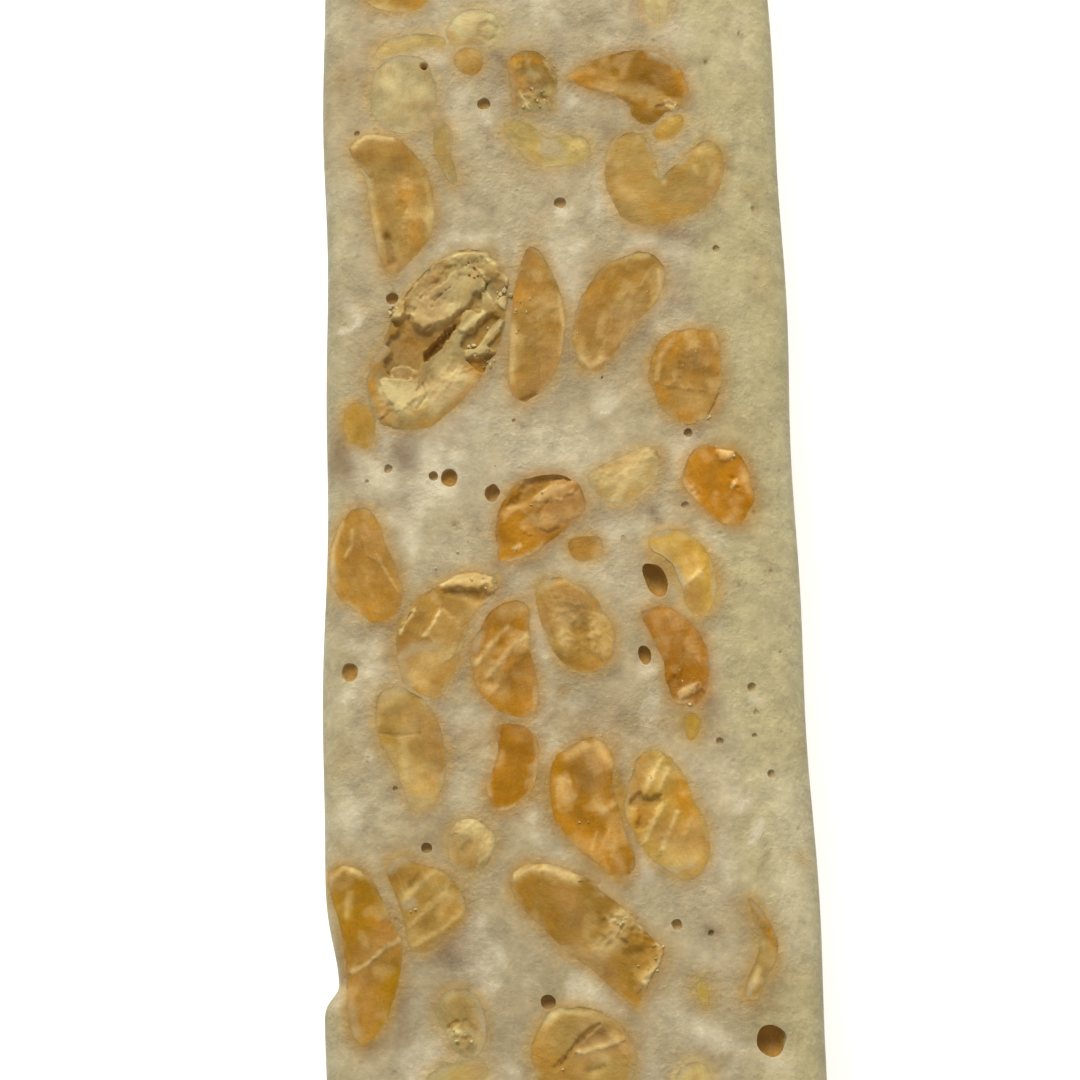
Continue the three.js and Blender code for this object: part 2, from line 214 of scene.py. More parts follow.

# ---------------------------------------------------------------- what each nut looks like

# Each nut: its name, flesh colour, film of nougat, and middle on the bar's top as x and y in mm; then its
# edge where the knife cut it, as x y x y in tenths of a mm from the middle; then its marks. A mark is a
# kind, a reach in mm, an amount, and x y x y along a line or round a patch, like the edge. The amount is a
# height or depth in mm for ridges, hollows, cracks, caves, bubbles, flakes, sunk and rough places, and a
# strength for the rest. A mark with no points of its own lies where the next mark does.
# Dark marks are partly darker roasting and partly painted shade under flakes and in clefts.
KERNELS = """
peanut_far_cut #a38641 0.5 -12.1 43.3
edge -25 -5 -20 -10 -9 -15 3 -17 15 -16 25 -10 29 -1 26 12 12 23 -8 25 -23 15 -28 3
warm 1.67 0.4 -1 -9 11 1
pale 0.38 0.4 -19 -9 -9 -13 3 -15

peanut_disc #b2a374 0.7 -11.7 34.4
edge -19 25 -9 31 3 33 15 32 23 23 26 10 27 -3 24 -16 17 -26 8 -33 -3 -34 -14 -30 -22 -20 -26 -8 -25 6 -23 17
pale 0.68 0.35 -13 11 0 -3 18 2
pale 0.61 0.25 -5 -15 8 -21
bubble 0.38 0.9 18 24
warm 0.3 0.15 -17 22 -22 4
film 0.3 0.5 -11 29 3 30 15 28

peanut_ring #c0b988 0.7 -5.7 39.7
edge -19 10 -12 17 -3 20 9 18 18 12 24 3 23 -5 17 -12 7 -15 0 -12 -6 -12 -14 -13 -22 -8 -24 1
hollow 0.2 0.12 10 8 17 4 16 -4 10 -8 3 -3 4 4 10 8
warm 0.45 0.45 -22 -4 -16 -10 -8 -11
pale 0.61 0.4 -11 8 1 14
dark 0.3 0.3 -5 -7 5 -12

peanut_crumbly #7f6f38 0.5 -1.3 35.1
edge -19 19 -13 26 -2 29 8 26 15 18 20 10 21 -3 20 -15 16 -23 6 -24 -4 -25 -14 -23 -17 -14 -16 -4 -19 9
hollow 0.23 0.07 13 -1 9 -10
rough 1.06 0.07 -10 16 11 -10
rough 0.45 0.12 7 -13 -5 -9
warm 0.61 0.5 3 -14 -9 0
dark 0.61 0.5 5 -2 12 3
cave 0.23 0.16 16 -18 11 -13
pale 0.23 0.9 -8 -12 -3 -20
ridge 0.15 0.3 -10 -10 -4 -21
ridge 0.15 0.3 11 15 17 4
warm 0.76 0.6 -13 19 1 21
dark 0.45 0.4 -11 -12 -13 -1
pale 0.3 0.5 -1 10 4 6

peanut_double #b19c5c 0.9 -0.1 29.8
edge -35 18 -26 22 -16 18 -8 11 -1 4 7 5 16 8 26 7 33 1 34 -8 28 -14 18 -17 7 -20 -4 -19 -15 -15 -24 -6 -32 5
film 0.68 1 0 9 1 -5
film 0.3 0.6 6 -2 11 -12
warm 0.45 0.35 -14 -12 -7 -15
warm 0.45 0.3 22 -4 29 -6
ridge 0.45 0.12 -26 9 -14 -3
ridge 0.45 0.12 17 -4 27 -1

peanut_wedge #926813 0.35 7 34.4
edge -55 11 -44 20 -27 28 -11 32 5 33 21 29 32 20 39 11 42 -2 39 -14 32 -18 24 -21 18 -28 10 -31 2 -30 -3 -24
-5 -15 -12 -8 -24 -4 -36 0 -48 6
dark 0.61 0.16 -34 14 -18 24 5 27 24 23
warm 0.38 0.5 -50 11 -36 16
pale 0.61 0.45 -26 3 -12 0 5 -3
dark 0.53 0.7 3 -23 13 -25 21 -20
crack 0.2 0.16 17 -17 26 -14 38 -19
pale 0.19 1 25 -13 30 -15
ridge 0.19 0.3 25 -13 31 -16
warm 0.38 0.5 37 9 41 -6
dark 0.23 0.5 -28 -2 -12 -7 -3 -15
film 0.45 0.5 15 29 31 23
ridge 0.23 0.12 -48 6 -28 0 -12 -6

peanut_heart #a98c4b 0.3 9 27.1
edge -44 21 -39 29 -32 34 -23 36 -16 33 -11 25 -8 16 -5 5 -3 -5 4 2 13 9 19 17 26 24 35 27 44 23 48 15 48 5 47
-6 43 -17 34 -27 24 -35 13 -40 -1 -45 -14 -47 -27 -44 -36 -36 -42 -24 -46 -12 -46 5
pale 0.3 0.45 37 -10 43 6
dark 0.45 0.35 -41 12 -44 -12
dark 0.3 0.4 -20 -44 2 -44
pale 0.23 0.5 -6 1 0 -7
hollow 1.06 0.08 21 -11 4 -19
pale 0.68 0.3 -36 -7 -26 -21
pale 0.45 0.3 30 19 39 19
film 0.23 0.5 -11 24 -7 13
film 0.23 0.5 22 16 13 7

peanut_boot #a48443 0.25 -12.5 25.4
edge -34 42 -30 49 -22 54 -11 55 1 52 9 48 16 41 24 30 30 18 33 3 33 -13 31 -29 24 -41 16 -51 8 -60 0 -66 -6
-63 -10 -53 -13 -38 -16 -22 -19 -5 -20 7 -23 19 -28 29
pale 0.27 0.9 ridge 0.26 0.15 -31 44 -21 52 0 51
dark 0.68 0.35 -26 37 -6 38 4 33
warm 0.76 0.45 10 12 15 -20 17 -37
pale 0.38 0.5 -19 14 -16 -11 -11 -34
dark 0.38 0.9 hollow 0.3 0.3 -5 -31 -1 -53
pale 0.3 0.35 27 16 30 -12 27 -31
crack 0.12 0.08 -25 27 -17 17
ridge 0.76 0.12 4 8 6 -26
warm 0.3 0.4 -4 -58 2 -60

peanut_oblong #a07b35 0.35 4.7 15.6
edge 0 42 10 46 22 50 34 45 40 36 40 23 35 10 28 0 20 -8 12 -18 5 -27 -3 -39 -10 -47 -19 -50 -26 -48 -30 -40
-33 -27 -33 -15 -31 -2 -26 10 -18 23 -10 34
dark 0.83 0.3 -23 -5 -15 -25
ridge 0.12 0.1 31 35 21 21 7 13 -2 1 -4 -16 -9 -28
pale 0.61 0.32 21 9 8 -12
ridge 0.23 0.12 -28 -36 -19 -46 -11 -41
pale 0.26 0.9 -27 -38 -19 -46 -11 -40
pale 0.3 0.6 12 46 27 46
dark 0.76 0.15 7 30 -9 9
pale 0.19 0.4 36 33 37 17 28 3
hollow 0.61 0.1 -11 -3 -4 13
ridge 0.11 0.07 -5 30 -10 16 -8 9

peanut_half_moon #a27d37 0.15 -1.7 14.6
edge -5 62 1 66 7 62 13 52 19 39 24 22 26 5 24 -11 21 -28 15 -41 9 -52 1 -60 -8 -64 -15 -60 -19 -51 -20 -36
-19 -20 -18 -4 -16 11 -15 25 -12 38 -9 50
warm 0.53 0.35 -1 57 8 41 14 20
pale 0.3 0.4 -14 0 -16 -27 -17 -46
dark 0.27 0.5 -8 -62 1 -57
warm 0.3 0.5 -9 -61 2 -56
hollow 0.26 0.2 -8 -62 1 -58
pale 0.23 0.7 -16 -66 -19 -61
pale 0.18 0.45 21 27 24 -1 21 -23
ridge 1.06 0.12 2 12 4 -21
ridge 0.15 0.2 -13 42 -10 44
dark 0.61 0.15 -3 -37 3 -49
dark 0.76 0.12 3 21 14 -4

peanut_broken #94804e 0.1 -9 13.5
edge -57 -36 -55 -24 -51 -13 -45 -3 -40 9 -38 19 -32 29 -26 38 -19 47 -11 57 -1 65 10 72 22 75 33 74 43 69 50
61 55 51 55 40 53 27 51 13 48 -1 44 -12 39 -21 33 -31 27 -39 19 -49 9 -58 0 -65 -9 -70 -22 -73 -33 -72 -44 -67
-51 -58 -55 -47
rough 1.97 0.12 -6 38 17 58 41 64
flake 0.3 0.16 -30 31 -24 38 -16 48 -8 59 2 68 14 71 27 72 38 68 46 62 49 54 42 49 36 44 39 36 45 27 46 21 37
21 29 23 20 18 9 15 -2 10 -15 9 -21 16 -19 26
flake 0.23 0.16 -20 14 -21 22 -14 30 -10 39 -2 43 6 48 13 56 24 61 31 59 36 51 36 43 31 38 25 30 18 26 11 18 3
14 -4 11 -11 9
sunk 0.23 0.14 -14 34 -6 44 2 53 10 62 13 58 6 50 -2 43 -8 35
sunk 0.3 0.42 -37 -9 -40 -2 -36 4 -32 9 -35 16 -28 19 -21 19 -19 12 -11 8 -7 9 -1 13 6 15 11 18 17 23 23 25 26
33 30 38 33 34 32 24 28 22 25 24 19 18 15 12 10 5 5 -1 -1 -8 -7 -13 -12 -17 -17 -23 -20 -29 -23 -32 -30 -32
-37 -29 -41 -23 -43 -16
sunk 0.2 0.75 -11 -12 -8 -6 -4 0 2 5 7 10 14 15 18 15 13 8 8 2 2 -5 -4 -11 -9 -16
dark 0.3 0.9 -7 -8 1 0 12 10
flake 0.23 0.3 -38 -26 -36 -21 -30 -19 -23 -21 -18 -25 -21 -30 -29 -32 -36 -30
hollow 0.45 0.12 -24 -1
dark 0.61 0.3 -30 4 -24 -15
dark 0.26 0.9 -5 -6 4 2 14 12
dark 0.53 0.9 -17 -1 -10 3
warm 0.38 0.8 -24 -1 -19 1
flake 0.18 0.3 16 13 19 21 25 24 31 21 36 23 35 18 31 12 27 6 21 6 17 7
sunk 0.2 0.4 19 0 23 5 27 7 32 14 38 19 43 21 48 17 43 13 38 8 35 2 32 -3 29 -8 24 -9 19 -6
flake 0.15 0.36 20 -14 22 -10 28 -8 32 -4 37 2 41 8 47 16 50 13 47 8 44 1 39 -4 37 -9 43 -10 47 -15 41 -13 36
-13 32 -16 27 -14 22 -17
sunk 0.18 0.4 21 -17 27 -15 33 -15 38 -12 46 -15 43 -20 39 -24 34 -27 29 -26 25 -23
flake 0.15 0.35 51 45 55 52 60 56 65 54 64 46 58 43
flake 0.15 0.3 47 30 52 34 57 30 57 24 52 23 47 26
flake 0.18 0.4 -38 27 -32 32 -27 32 -28 24 -29 18 -35 18 -39 22
flake 0.23 0.3 -47 -32 -40 -30 -34 -32 -21 -31 -17 -35 -19 -42 -17 -46 -22 -51 -28 -56 -34 -57 -38 -51 -42 -44
-45 -38
pale 0.98 0.85 -24 -45 -1 -44 14 -34
warm 0.91 0.7 -15 -51 2 -45 18 -33
warm 0.68 1 13 -39 29 -22
pale 0.68 0.6 5 -41 19 -31
pale 0.68 0.6 -4 -48 5 -42
pale 0.45 0.4 -33 0
dark 0.3 0.6 -18 -2 -8 5
dark 0.45 1 warm 0.45 0.4 -37 -26 -23 -27
pale 0.61 1.2 -41 -38 -32 -48 -23 -41
pale 0.23 0.4 24 -13 33 -7
pale 0.23 0.9 38 1 43 6 48 11
pale 0.27 0.8 20 8 28 16 35 20
pale 0.45 1.4 55 52 59 49
pale 0.38 1.2 48 32 54 27
pale 0.3 0.7 -35 26 -32 21
pale 0.3 0.5 -26 19 -21 24 -16 34
pale 0.38 0.5 -16 19 -2 15 11 27
pale 0.45 0.5 10 68 29 71 45 64
pale 0.83 0.25 -11 24 6 33 22 50
dark 0.3 0.35 36 48 41 46 47 47
crack 0.12 0.2 28 59 33 53 38 46 36 39
crack 0.11 0.16 -5 32 3 37 9 42
ridge 0.91 0.25 -34 -56 -11 -48 12 -31
warm 0.45 0.8 -52 -36 -47 -51 -38 -64
warm 0.38 0.35 -14 -70 3 -64 20 -51 31 -36
dark 0.23 0.5 5 -62 16 -54 25 -44 33 -33
crack 0.11 0.14 -13 -35 -10 -45 -17 -55
film 0.38 0.6 -49 -15 -41 -4
film 0.68 -0.7 -3 -50 24 -34
film 0.45 -0.6 -48 -39 -41 -59

peanut_cup #a77f38 0.2 10.4 10.3
edge -31 10 -26 20 -20 28 -10 35 2 38 13 36 22 31 25 22 25 11 25 -1 24 -12 21 -23 16 -32 7 -38 -3 -41 -14 -36
-23 -27 -29 -15 -32 -3
hollow 0.98 0.2 8 11 11 3
dark 0.91 0.4 10 11 13 3
dark 0.38 0.4 -7 13 -11 -8
warm 0.53 0.5 -27 -11 -22 -19
warm 0.61 0.4 -16 20 -10 28
ridge 0.3 0.1 pale 0.23 0.35 -26 -4 -23 14 -11 28
pale 0.91 0.35 -1 -20 7 -25
ridge 0.18 0.12 -17 -10 -5 -13 7 -14
crack 0.11 0.12 24 -10 19 -23 11 -37
pale 0.3 0.8 8 -38 16 -36
pale 0.3 0.6 19 32 22 22
rough 1.51 0.06 -8 -5 1 20

peanut_vivid #b57805 0.12 12.3 1.5
edge -27 11 -23 20 -18 27 -9 30 2 28 13 25 20 18 24 8 26 -2 27 -13 22 -24 16 -31 7 -34 -2 -30 -11 -22 -18 -14
-25 -6 -29 2
warm 0.68 0.7 -14 22 -21 9
dark 0.68 0.4 -6 10 -4 -4
flake 0.37 0.2 -2 27 13 24 7 17 0 20
pale 0.23 0.9 3 24 10 23
dark 0.2 0.6 -3 19 3 14
pale 0.38 0.5 19 10 22 -6
pale 0.45 0.6 -24 -2 -20 -10
rough 0.38 0.15 -23 -2 -17 -9
warm 0.68 0.9 -6 -17 7 -26
dark 0.53 0.35 5 -14 9 -8
pale 0.38 0.4 13 -23 4 -30
rough 0.3 0.2 10 4 15 -6
pale 0.12 0.9 13 3 10 -3

peanut_bean #bca56c 0.35 5.2 2.3
edge -28 -7 -29 1 -24 5 -16 9 -6 13 4 18 13 22 21 20 26 14 25 4 22 -5 15 -13 7 -19 -2 -22 -13 -21 -22 -16
warm 0.26 0.8 19 7 18 2
pale 0.76 0.4 -20 -5 -3 4 13 14
pale 0.61 0.5 3 1 15 8
dark 0.23 0.7 -29 2 -25 4
ridge 0.68 0.2 -16 -5 1 2 15 11
pale 0.18 0.5 17 19 23 13
dark 0.38 0.15 10 -12 -2 -18

peanut_flaked #9a6705 0.1 -1.8 -0.8
edge -30 -2 -27 7 -22 16 -16 24 -8 30 4 32 16 33 25 30 33 24 37 15 38 5 32 -4 24 -10 15 -17 6 -23 -2 -29 -13
-33 -23 -36 -29 -34 -30 -24 -31 -13
sunk 0.49 0.37 -21 8 -16 13 -12 18 -12 23 -4 29 4 32 13 34 21 33 28 29 21 26 13 25 8 22 2 18 -2 15 -6 13 -9 9
-14 8
flake 0.35 0.2 -2 14 4 20 10 24 16 27 24 27 28 25 30 29 32 25 29 19 23 15 20 11 17 14 13 14 10 12 6 9 1 9
flake 0.43 0.08 -21 8 -13 11 -4 13 1 9 5 9 3 4 -1 0 1 -5 -6 2 -12 3 -18 0 -24 -4
flake 0.43 0.1 3 3 10 11 16 12 20 11 28 17 34 18 39 9 37 5 31 0 24 -4 18 -6 14 -10 9 -13 4 -9 3 -3
dark 0.76 0.7 -10 18 4 27 18 30
pale 0.38 0.8 2 13 11 19 21 22
warm 0.91 0.8 -17 -7 -12 -22 -23 -28
dark 0.3 0.6 0 -2 2 -9 6 -12
warm 0.38 0.5 30 0 22 -8
crack 0.14 0.06 4 -11 9 -14 17 -10
ridge 0.15 0.14 pale 0.18 0.8 -26 -36 -13 -34 -4 -30 4 -24
pale 0.3 0.4 -24 2 -18 7 -9 9
ridge 0.15 0.2 -9 -12 -5 -14
pale 0.15 0.8 -17 -25 -13 -23
dark 0.3 0.5 34 20 38 10

peanut_egg #b1873b 0.25 -14.9 -4.3
edge -17 34 -10 42 -1 45 6 42 12 33 16 21 21 7 26 -6 29 -20 28 -31 23 -40 15 -45 4 -43 -7 -36 -17 -28 -23 -19
-27 -7 -28 4 -26 16 -22 26
pale 0.23 0.6 -17 34 -23 16 -25 0
film 0.3 0.5 -25 4 -23 -11
ridge 0.12 0.1 -9 26 -9 16 -14 7
ridge 0.12 0.1 -1 19 2 7 8 4
ridge 0.12 0.1 11 5 18 -9 26 -22
ridge 0.11 0.07 -11 -5 -6 -19
ridge 0.11 0.07 2 -12 6 -26
pale 0.15 0.4 -9 26 -9 16 -14 7
pale 0.15 0.4 11 5 18 -9 26 -22
dark 0.45 0.4 -2 42 -3 29
dark 0.61 0.22 -15 16 -12 -2
warm 0.61 0.3 15 -20 24 -29
dark 0.76 0.15 5 0 8 -20
hollow 0.61 0.1 -4 12 2 -8

peanut_crescent #caa44a 0.6 9.4 -5.2
edge -28 22 -22 29 -12 31 -3 30 7 25 15 17 21 6 23 -7 23 -21 18 -32 11 -37 4 -34 0 -26 -2 -19 -4 -11 -7 -2 -10
5 -17 10 -24 15
warm 0.45 0.5 4 16 7 2
ridge 0.2 0.22 pale 0.23 0.9 -7 -16 2 -10 11 -3
warm 0.45 0.5 0 -21 10 -20
pale 0.61 0.3 -18 23 -7 19
film 0.3 0.3 21 2 22 -17
film 0.3 0.7 -22 27 -12 30
film 0.23 0.5 -7 2 -3 -9

peanut_wrinkled #ad8a43 0.3 0.9 -9.2
edge -28 19 -27 28 -21 34 -11 36 -1 33 9 27 17 17 24 7 30 -4 30 -16 27 -27 21 -34 11 -38 0 -36 -10 -29 -17 -20
-21 -9 -26 4
pale 0.61 0.5 -9 7 -7 -13
flake 0.72 0.18 10 4 21 5 28 -6 29 -20 22 -27 14 -21 12 -9
pale 0.45 0.3 16 1 22 -21
dark 0.38 0.5 5 18 9 -5
dark 0.38 0.45 -14 -24 -3 -31 11 -35
pale 0.23 0.5 -19 29 -5 33 8 25
dark 0.3 0.35 -22 18 -20 -1
ridge 0.3 0.16 -13 18 -1 16 8 8
ridge 0.38 0.14 -11 -13 1 -19
rough 1.06 0.1 -10 10 11 -13
film 0.3 0.5 -25 26 -16 34

peanut_ridged #ad863e 0.35 -9 -9.5
edge -2 35 9 41 21 44 33 42 42 38 41 30 35 22 28 16 21 6 17 -6 14 -17 10 -29 5 -40 -1 -49 -9 -53 -18 -50 -26
-45 -32 -36 -35 -24 -35 -13 -34 -1 -31 9 -26 18 -19 25 -11 30
flake 0.35 0.26 -2 35 3 39 10 42 15 44 25 44 33 41 38 38 38 33 40 28 36 27 32 31 29 33 29 30 25 30 21 31 18 30
13 31 6 32 0 33
sunk 0.43 0.24 3 29 10 32 21 31 29 30 32 33 37 27 37 22 33 20 25 21 18 24 10 25
dark 0.38 0.9 10 29 21 27 35 26
pale 0.38 1 1 36 12 38 23 38 35 36
flake 0.43 0.07 -3 14 1 16 10 9 15 0 10 -12 2 -24 -5 -23 -2 -11 -10 -7 -14 -4 -8 5
crack 0.12 0.14 -31 2 -23 13
ridge 0.12 0.16 -14 -4 -8 3 -2 14
ridge 0.12 0.16 -32 -2 -29 5 -21 15
pale 0.14 0.7 -14 -4 -8 3 -2 14
pale 0.14 0.8 -32 -2 -29 5 -21 15
dark 0.61 0.35 -28 7 -17 16
dark 0.45 0.5 -30 -1 -34 -13
dark 0.53 0.35 -23 -7 -17 -9 -7 -7
pale 1.06 0.4 -19 -31 -2 -19
film 0.45 0.6 -31 -19 -20 -13 -5 -12
pale 0.45 0.4 15 9 25 18
film 0.3 0.5 34 22 37 12
warm 0.76 0.2 -29 -43 -14 -47
warm 0.45 0.5 27 4 34 1
film 0.45 0.35 -31 -28 -26 -40

peanut_streaked #a17016 0.25 -4.2 -11.7
edge -25 13 -21 22 -17 29 -11 37 -2 42 7 44 15 41 18 34 17 24 17 13 19 1 21 -10 23 -24 22 -37 18 -45 10 -47 0
-44 -9 -38 -18 -30 -24 -20 -27 -7 -28 4
ridge 0.23 0.14 -23 -4 -13 9 1 23
ridge 0.23 0.14 -16 -15 -5 -3 7 12
ridge 0.23 0.12 -10 -26 1 -12 13 2
pale 0.2 0.5 -23 -4 -13 9 1 23
pale 0.2 0.45 -16 -15 -5 -3 7 12
warm 0.3 0.9 -5 4 5 15
warm 0.3 0.9 -2 -8 10 5
warm 1.06 0.8 -6 -35 13 -39
warm 0.61 0.4 17 -18 19 -33
flake 0.58 0.14 5 4 9 13 16 21 18 9 12 2
pale 0.38 0.35 8 7 14 15
pale 0.61 0.3 -9 -24 -4 -28
pale 0.53 0.45 -2 35 11 36
dark 0.23 0.25 -14 24 -7 33
pale 0.38 0.5 -18 -21 -13 -24
pale 0.2 0.4 20 -25 19 -42
film 0.3 0.4 -23 6 -19 17

peanut_torn_moon #9f6605 0.2 8.6 -12.1
edge -26 36 -18 40 -8 40 1 37 10 29 17 20 21 9 23 -3 22 -15 21 -24 18 -33 12 -37 4 -36 -3 -34 -6 -28 -8 -21
-10 -13 -11 -4 -13 5 -17 14 -22 25
warm 0.91 0.4 -18 35 -7 14 7 -4
dark 0.76 0.2 -4 7 10 -3
pale 0.3 0.8 2 -25 10 -22
pale 0.3 0.6 -1 -32 9 -33
dark 0.3 0.5 -11 -10 -7 -21
warm 0.38 0.5 -16 36 -8 36
pale 0.38 0.3 9 14 15 -1
ridge 0.68 0.15 -1 22 11 3
film 0.23 0.4 -21 38 -26 33
sunk 0.43 0.19 -9 -24 -6 -17 -1 -14 1 -22 -1 -29 -4 -34 -9 -34
sunk 0.37 0.19 12 -26 15 -22 20 -26 20 -30 16 -35 12 -35
flake 0.29 0.15 -1 -26 4 -22 11 -21 16 -21 13 -26 6 -28 0 -30
crack 0.12 0.06 4 5 4 -7 1 -15
warm 0.61 0.5 8 22 15 6

peanut_two_tone #aa8a42 0.6 -11.4 -18.2
edge -26 35 -21 43 -14 45 -5 44 5 38 14 29 20 18 23 5 26 -7 25 -20 21 -31 17 -41 10 -46 1 -47 -4 -40 -8 -30
-12 -19 -18 -6 -24 6 -28 21
crack 0.11 0.06 -24 10 -12 8 6 9
dark 0.3 0.45 -22 13 -9 11 6 13
dark 0.23 0.4 6 18 5 9
pale 0.91 0.45 -3 -22 9 -36
warm 0.45 0.3 18 11 22 -1
hollow 0.38 0.12 15 -17 19 -20
pale 0.23 0.5 13 -15 18 -17
pale 0.53 0.35 -20 35 -8 36
film 0.38 0.4 -20 39 -8 42
film 0.45 0.4 -2 -40 9 -40
warm 0.3 0.4 18 -22 15 -33
dark 0.45 0.15 -12 1 -1 -10

peanut_kidney #a16d05 0.2 -4.1 -19.9
edge -9 31 0 32 9 31 16 25 21 15 21 3 18 -9 14 -19 6 -27 -3 -33 -12 -32 -17 -25 -19 -16 -16 -7 -12 2 -9 12 -10
23
pale 0.26 0.7 -9 -33 5 -29 14 -22
pale 0.2 0.5 18 -11 20 10 18 23
pale 0.23 0.5 -16 -21 -18 -10
dark 0.61 0.25 3 16 1 -14
hollow 0.38 0.1 -5 24 -8 12
warm 0.61 0.7 4 20 1 -18
film 0.23 0.4 -12 -33 0 -33

peanut_hollowed #a67308 0.2 2 -23.2
edge -33 24 -30 35 -23 43 -13 49 -2 53 7 50 13 43 15 33 14 21 15 10 18 -1 21 -12 24 -22 27 -32 28 -42 24 -50
17 -52 8 -47 -1 -40 -10 -33 -19 -24 -26 -13 -31 -2 -33 11
flake 0.86 0.1 -28 22 -20 23 -16 16 -16 6 -20 -2 -25 -2 -28 7
pale 0.45 0.35 -25 16 -21 6
pale 0.45 0.7 4 48 13 33
pale 0.38 0.6 -18 40 -6 47
dark 0.68 0.5 -14 28 -1 18
hollow 0.61 0.08 -14 28 -6 19
pale 0.53 0.25 2 14 5 2
dark 0.45 0.45 -14 -2 -8 -9
warm 0.76 1 -3 -29 6 -24 3 -35
warm 0.76 0.9 -18 -11 -10 -21 -13 -28
pale 0.3 0.5 6 -2 13 2
ridge 0.23 0.14 4 -5 13 0
ridge 0.18 0.12 0 -20 -4 -33
ridge 0.18 0.12 8 -20 3 -33
ridge 0.18 0.12 15 -23 11 -36
pale 0.18 0.2 1 -18 -3 -30
warm 0.68 0.8 -7 -27 1 -36
pale 0.38 0.4 12 -30 19 -44
warm 0.45 0.4 -3 14 8 21

peanut_pitted #b79442 0.3 7.2 -23.6
edge -23 32 -19 42 -10 47 -1 46 6 40 13 31 18 20 22 9 27 -2 31 -15 32 -28 29 -40 22 -48 12 -49 2 -44 -8 -37
-16 -27 -22 -17 -28 -6 -30 4 -28 14 -27 23
ridge 0.23 0.16 -14 14 -2 39
ridge 0.2 0.12 -5 15 4 33
pale 0.23 0.8 -14 19 -2 39
pale 0.18 0.6 -3 18 3 33
sunk 0.43 0.34 -26 7 -23 12 -18 14 -15 12 -9 10 -3 12 -4 6 -8 1 -13 -7 -17 -12 -21 -10 -19 -1 -20 4 -24 5
dark 0.3 0.5 -21 10 -14 9 -7 10
warm 0.53 0.9 -18 1 -19 -6
ridge 0.23 0.14 -16 -21 -3 5
ridge 0.23 0.14 -3 -26 9 0
ridge 0.23 0.1 7 -30 17 -12
pale 0.2 0.6 -16 -21 -3 5
pale 0.2 0.6 -3 -26 9 0
dark 0.38 0.3 -6 -17 3 0
warm 0.61 0.7 15 5 19 -7
warm 0.61 0.6 13 28 10 12
warm 0.45 0.5 -17 39 -15 28
warm 0.61 0.5 1 -14 5 -7
pale 1.06 0.4 17 -34 2 -32
pale 0.3 0.4 -23 5 -26 -1
film 0.38 0.4 3 -42 17 -39

peanut_round #b39a62 0.5 -7.1 -25.7
edge -17 6 -13 14 -6 19 3 19 11 14 17 5 16 -3 12 -12 4 -19 -4 -22 -11 -17 -16 -8
ridge 0.45 0.3 -7 10 4 12
ridge 0.38 0.22 9 3 6 -7
hollow 0.3 0.2 -1 2 -6 -4
pale 0.61 0.5 -5 9 5 13
warm 0.45 0.35 -10 -10 0 -13
dark 0.23 0.35 3 -19 13 -12
dark 0.23 0.3 -13 0 -10 -8

peanut_side_long #a0770c 0.2 -15.1 -32.9
edge -26 50 -23 57 -15 60 -5 58 3 53 11 43 16 31 21 20 27 9 29 -2 28 -15 26 -27 22 -39 17 -51 10 -61 2 -69 -4
-66 -9 -57 -11 -45 -12 -33 -13 -19 -14 -4 -16 8 -18 21 -21 33 -24 42
ridge 0.27 0.16 pale 0.27 0.8 -23 51 -13 58 -2 53
dark 0.45 0.3 -16 37 -8 45
dark 0.38 0.35 -12 31 -2 35
pale 0.17 1 ridge 0.2 0.16 -8 -17 4 -11 15 -1 26 5
dark 0.45 0.5 -1 -25 12 -18 24 -10
warm 0.76 0.5 8 26 15 11
warm 0.91 0.5 -2 -1 -8 10
dark 0.23 0.4 11 31 17 16
pale 0.3 0.5 -12 24 -9 39
warm 0.91 0.6 4 -44 7 -33
pale 0.45 0.3 1 -63 -4 -58
film 0.38 0.4 -8 -40 -5 -58

peanut_striped #a3823c 0.4 -10.8 -29.7
edge -25 25 -21 31 -14 33 -6 29 3 26 14 24 22 16 29 5 32 -6 28 -17 19 -25 9 -32 -1 -37 -8 -35 -11 -27 -13 -16
-16 -5 -19 5 -23 15
ridge 0.26 0.09 pale 0.23 0.45 -13 1 -2 12 8 21
ridge 0.26 0.09 pale 0.23 0.4 -9 -17 6 -3 18 7
ridge 0.26 0.09 pale 0.23 0.4 -6 -31 13 -21 29 -8
hollow 0.23 0.12 -11 9 -2 19
dark 0.27 0.45 -13 6 -1 18
dark 0.3 0.4 2 -16 15 -2
film 0.3 0.8 -12 -3 -6 0
film 0.45 0.5 -24 23 -14 30
warm 0.61 0.25 13 1 22 -10
dark 0.23 0.35 10 -30 25 -20

peanut_largest #9f792d 0.15 1.6 -32
edge -59 35 -57 43 -50 48 -39 49 -26 47 -14 43 -2 36 8 27 19 18 29 8 38 -1 45 -8 51 -15 49 -24 44 -32 39 -40
35 -48 30 -55 23 -50 14 -43 4 -35 -6 -26 -17 -17 -28 -7 -38 4 -48 14 -57 25
ridge 0.27 0.2 -56 39 -46 45 -28 43 -13 36
pale 0.32 0.9 -56 40 -45 45 -28 43 -12 36
dark 0.26 0.35 -48 34 -33 37 -17 30
dark 1.51 0.2 -26 12 -8 -3
crack 0.15 0.14 22 3 18 -6 24 -10
dark 0.23 0.3 20 0 22 -9
rough 1.06 0.14 14 0 29 3 38 -8
pale 0.61 0.8 6 -16 14 -10 25 11 36 4
ridge 0.2 0.3 14 6 23 13
pale 0.23 0.8 14 6 22 11
dark 0.76 0.2 6 -26 26 -23 41 -15
hollow 0.45 0.2 26 -18 41 -14
ridge 0.3 0.4 37 -39 44 -29 52 -23
pale 0.35 1 37 -40 44 -30 52 -23
ridge 0.15 0.3 47 -12 51 -11
pale 0.18 0.9 47 -13 51 -12
dark 0.45 0.2 27 -40 33 -47
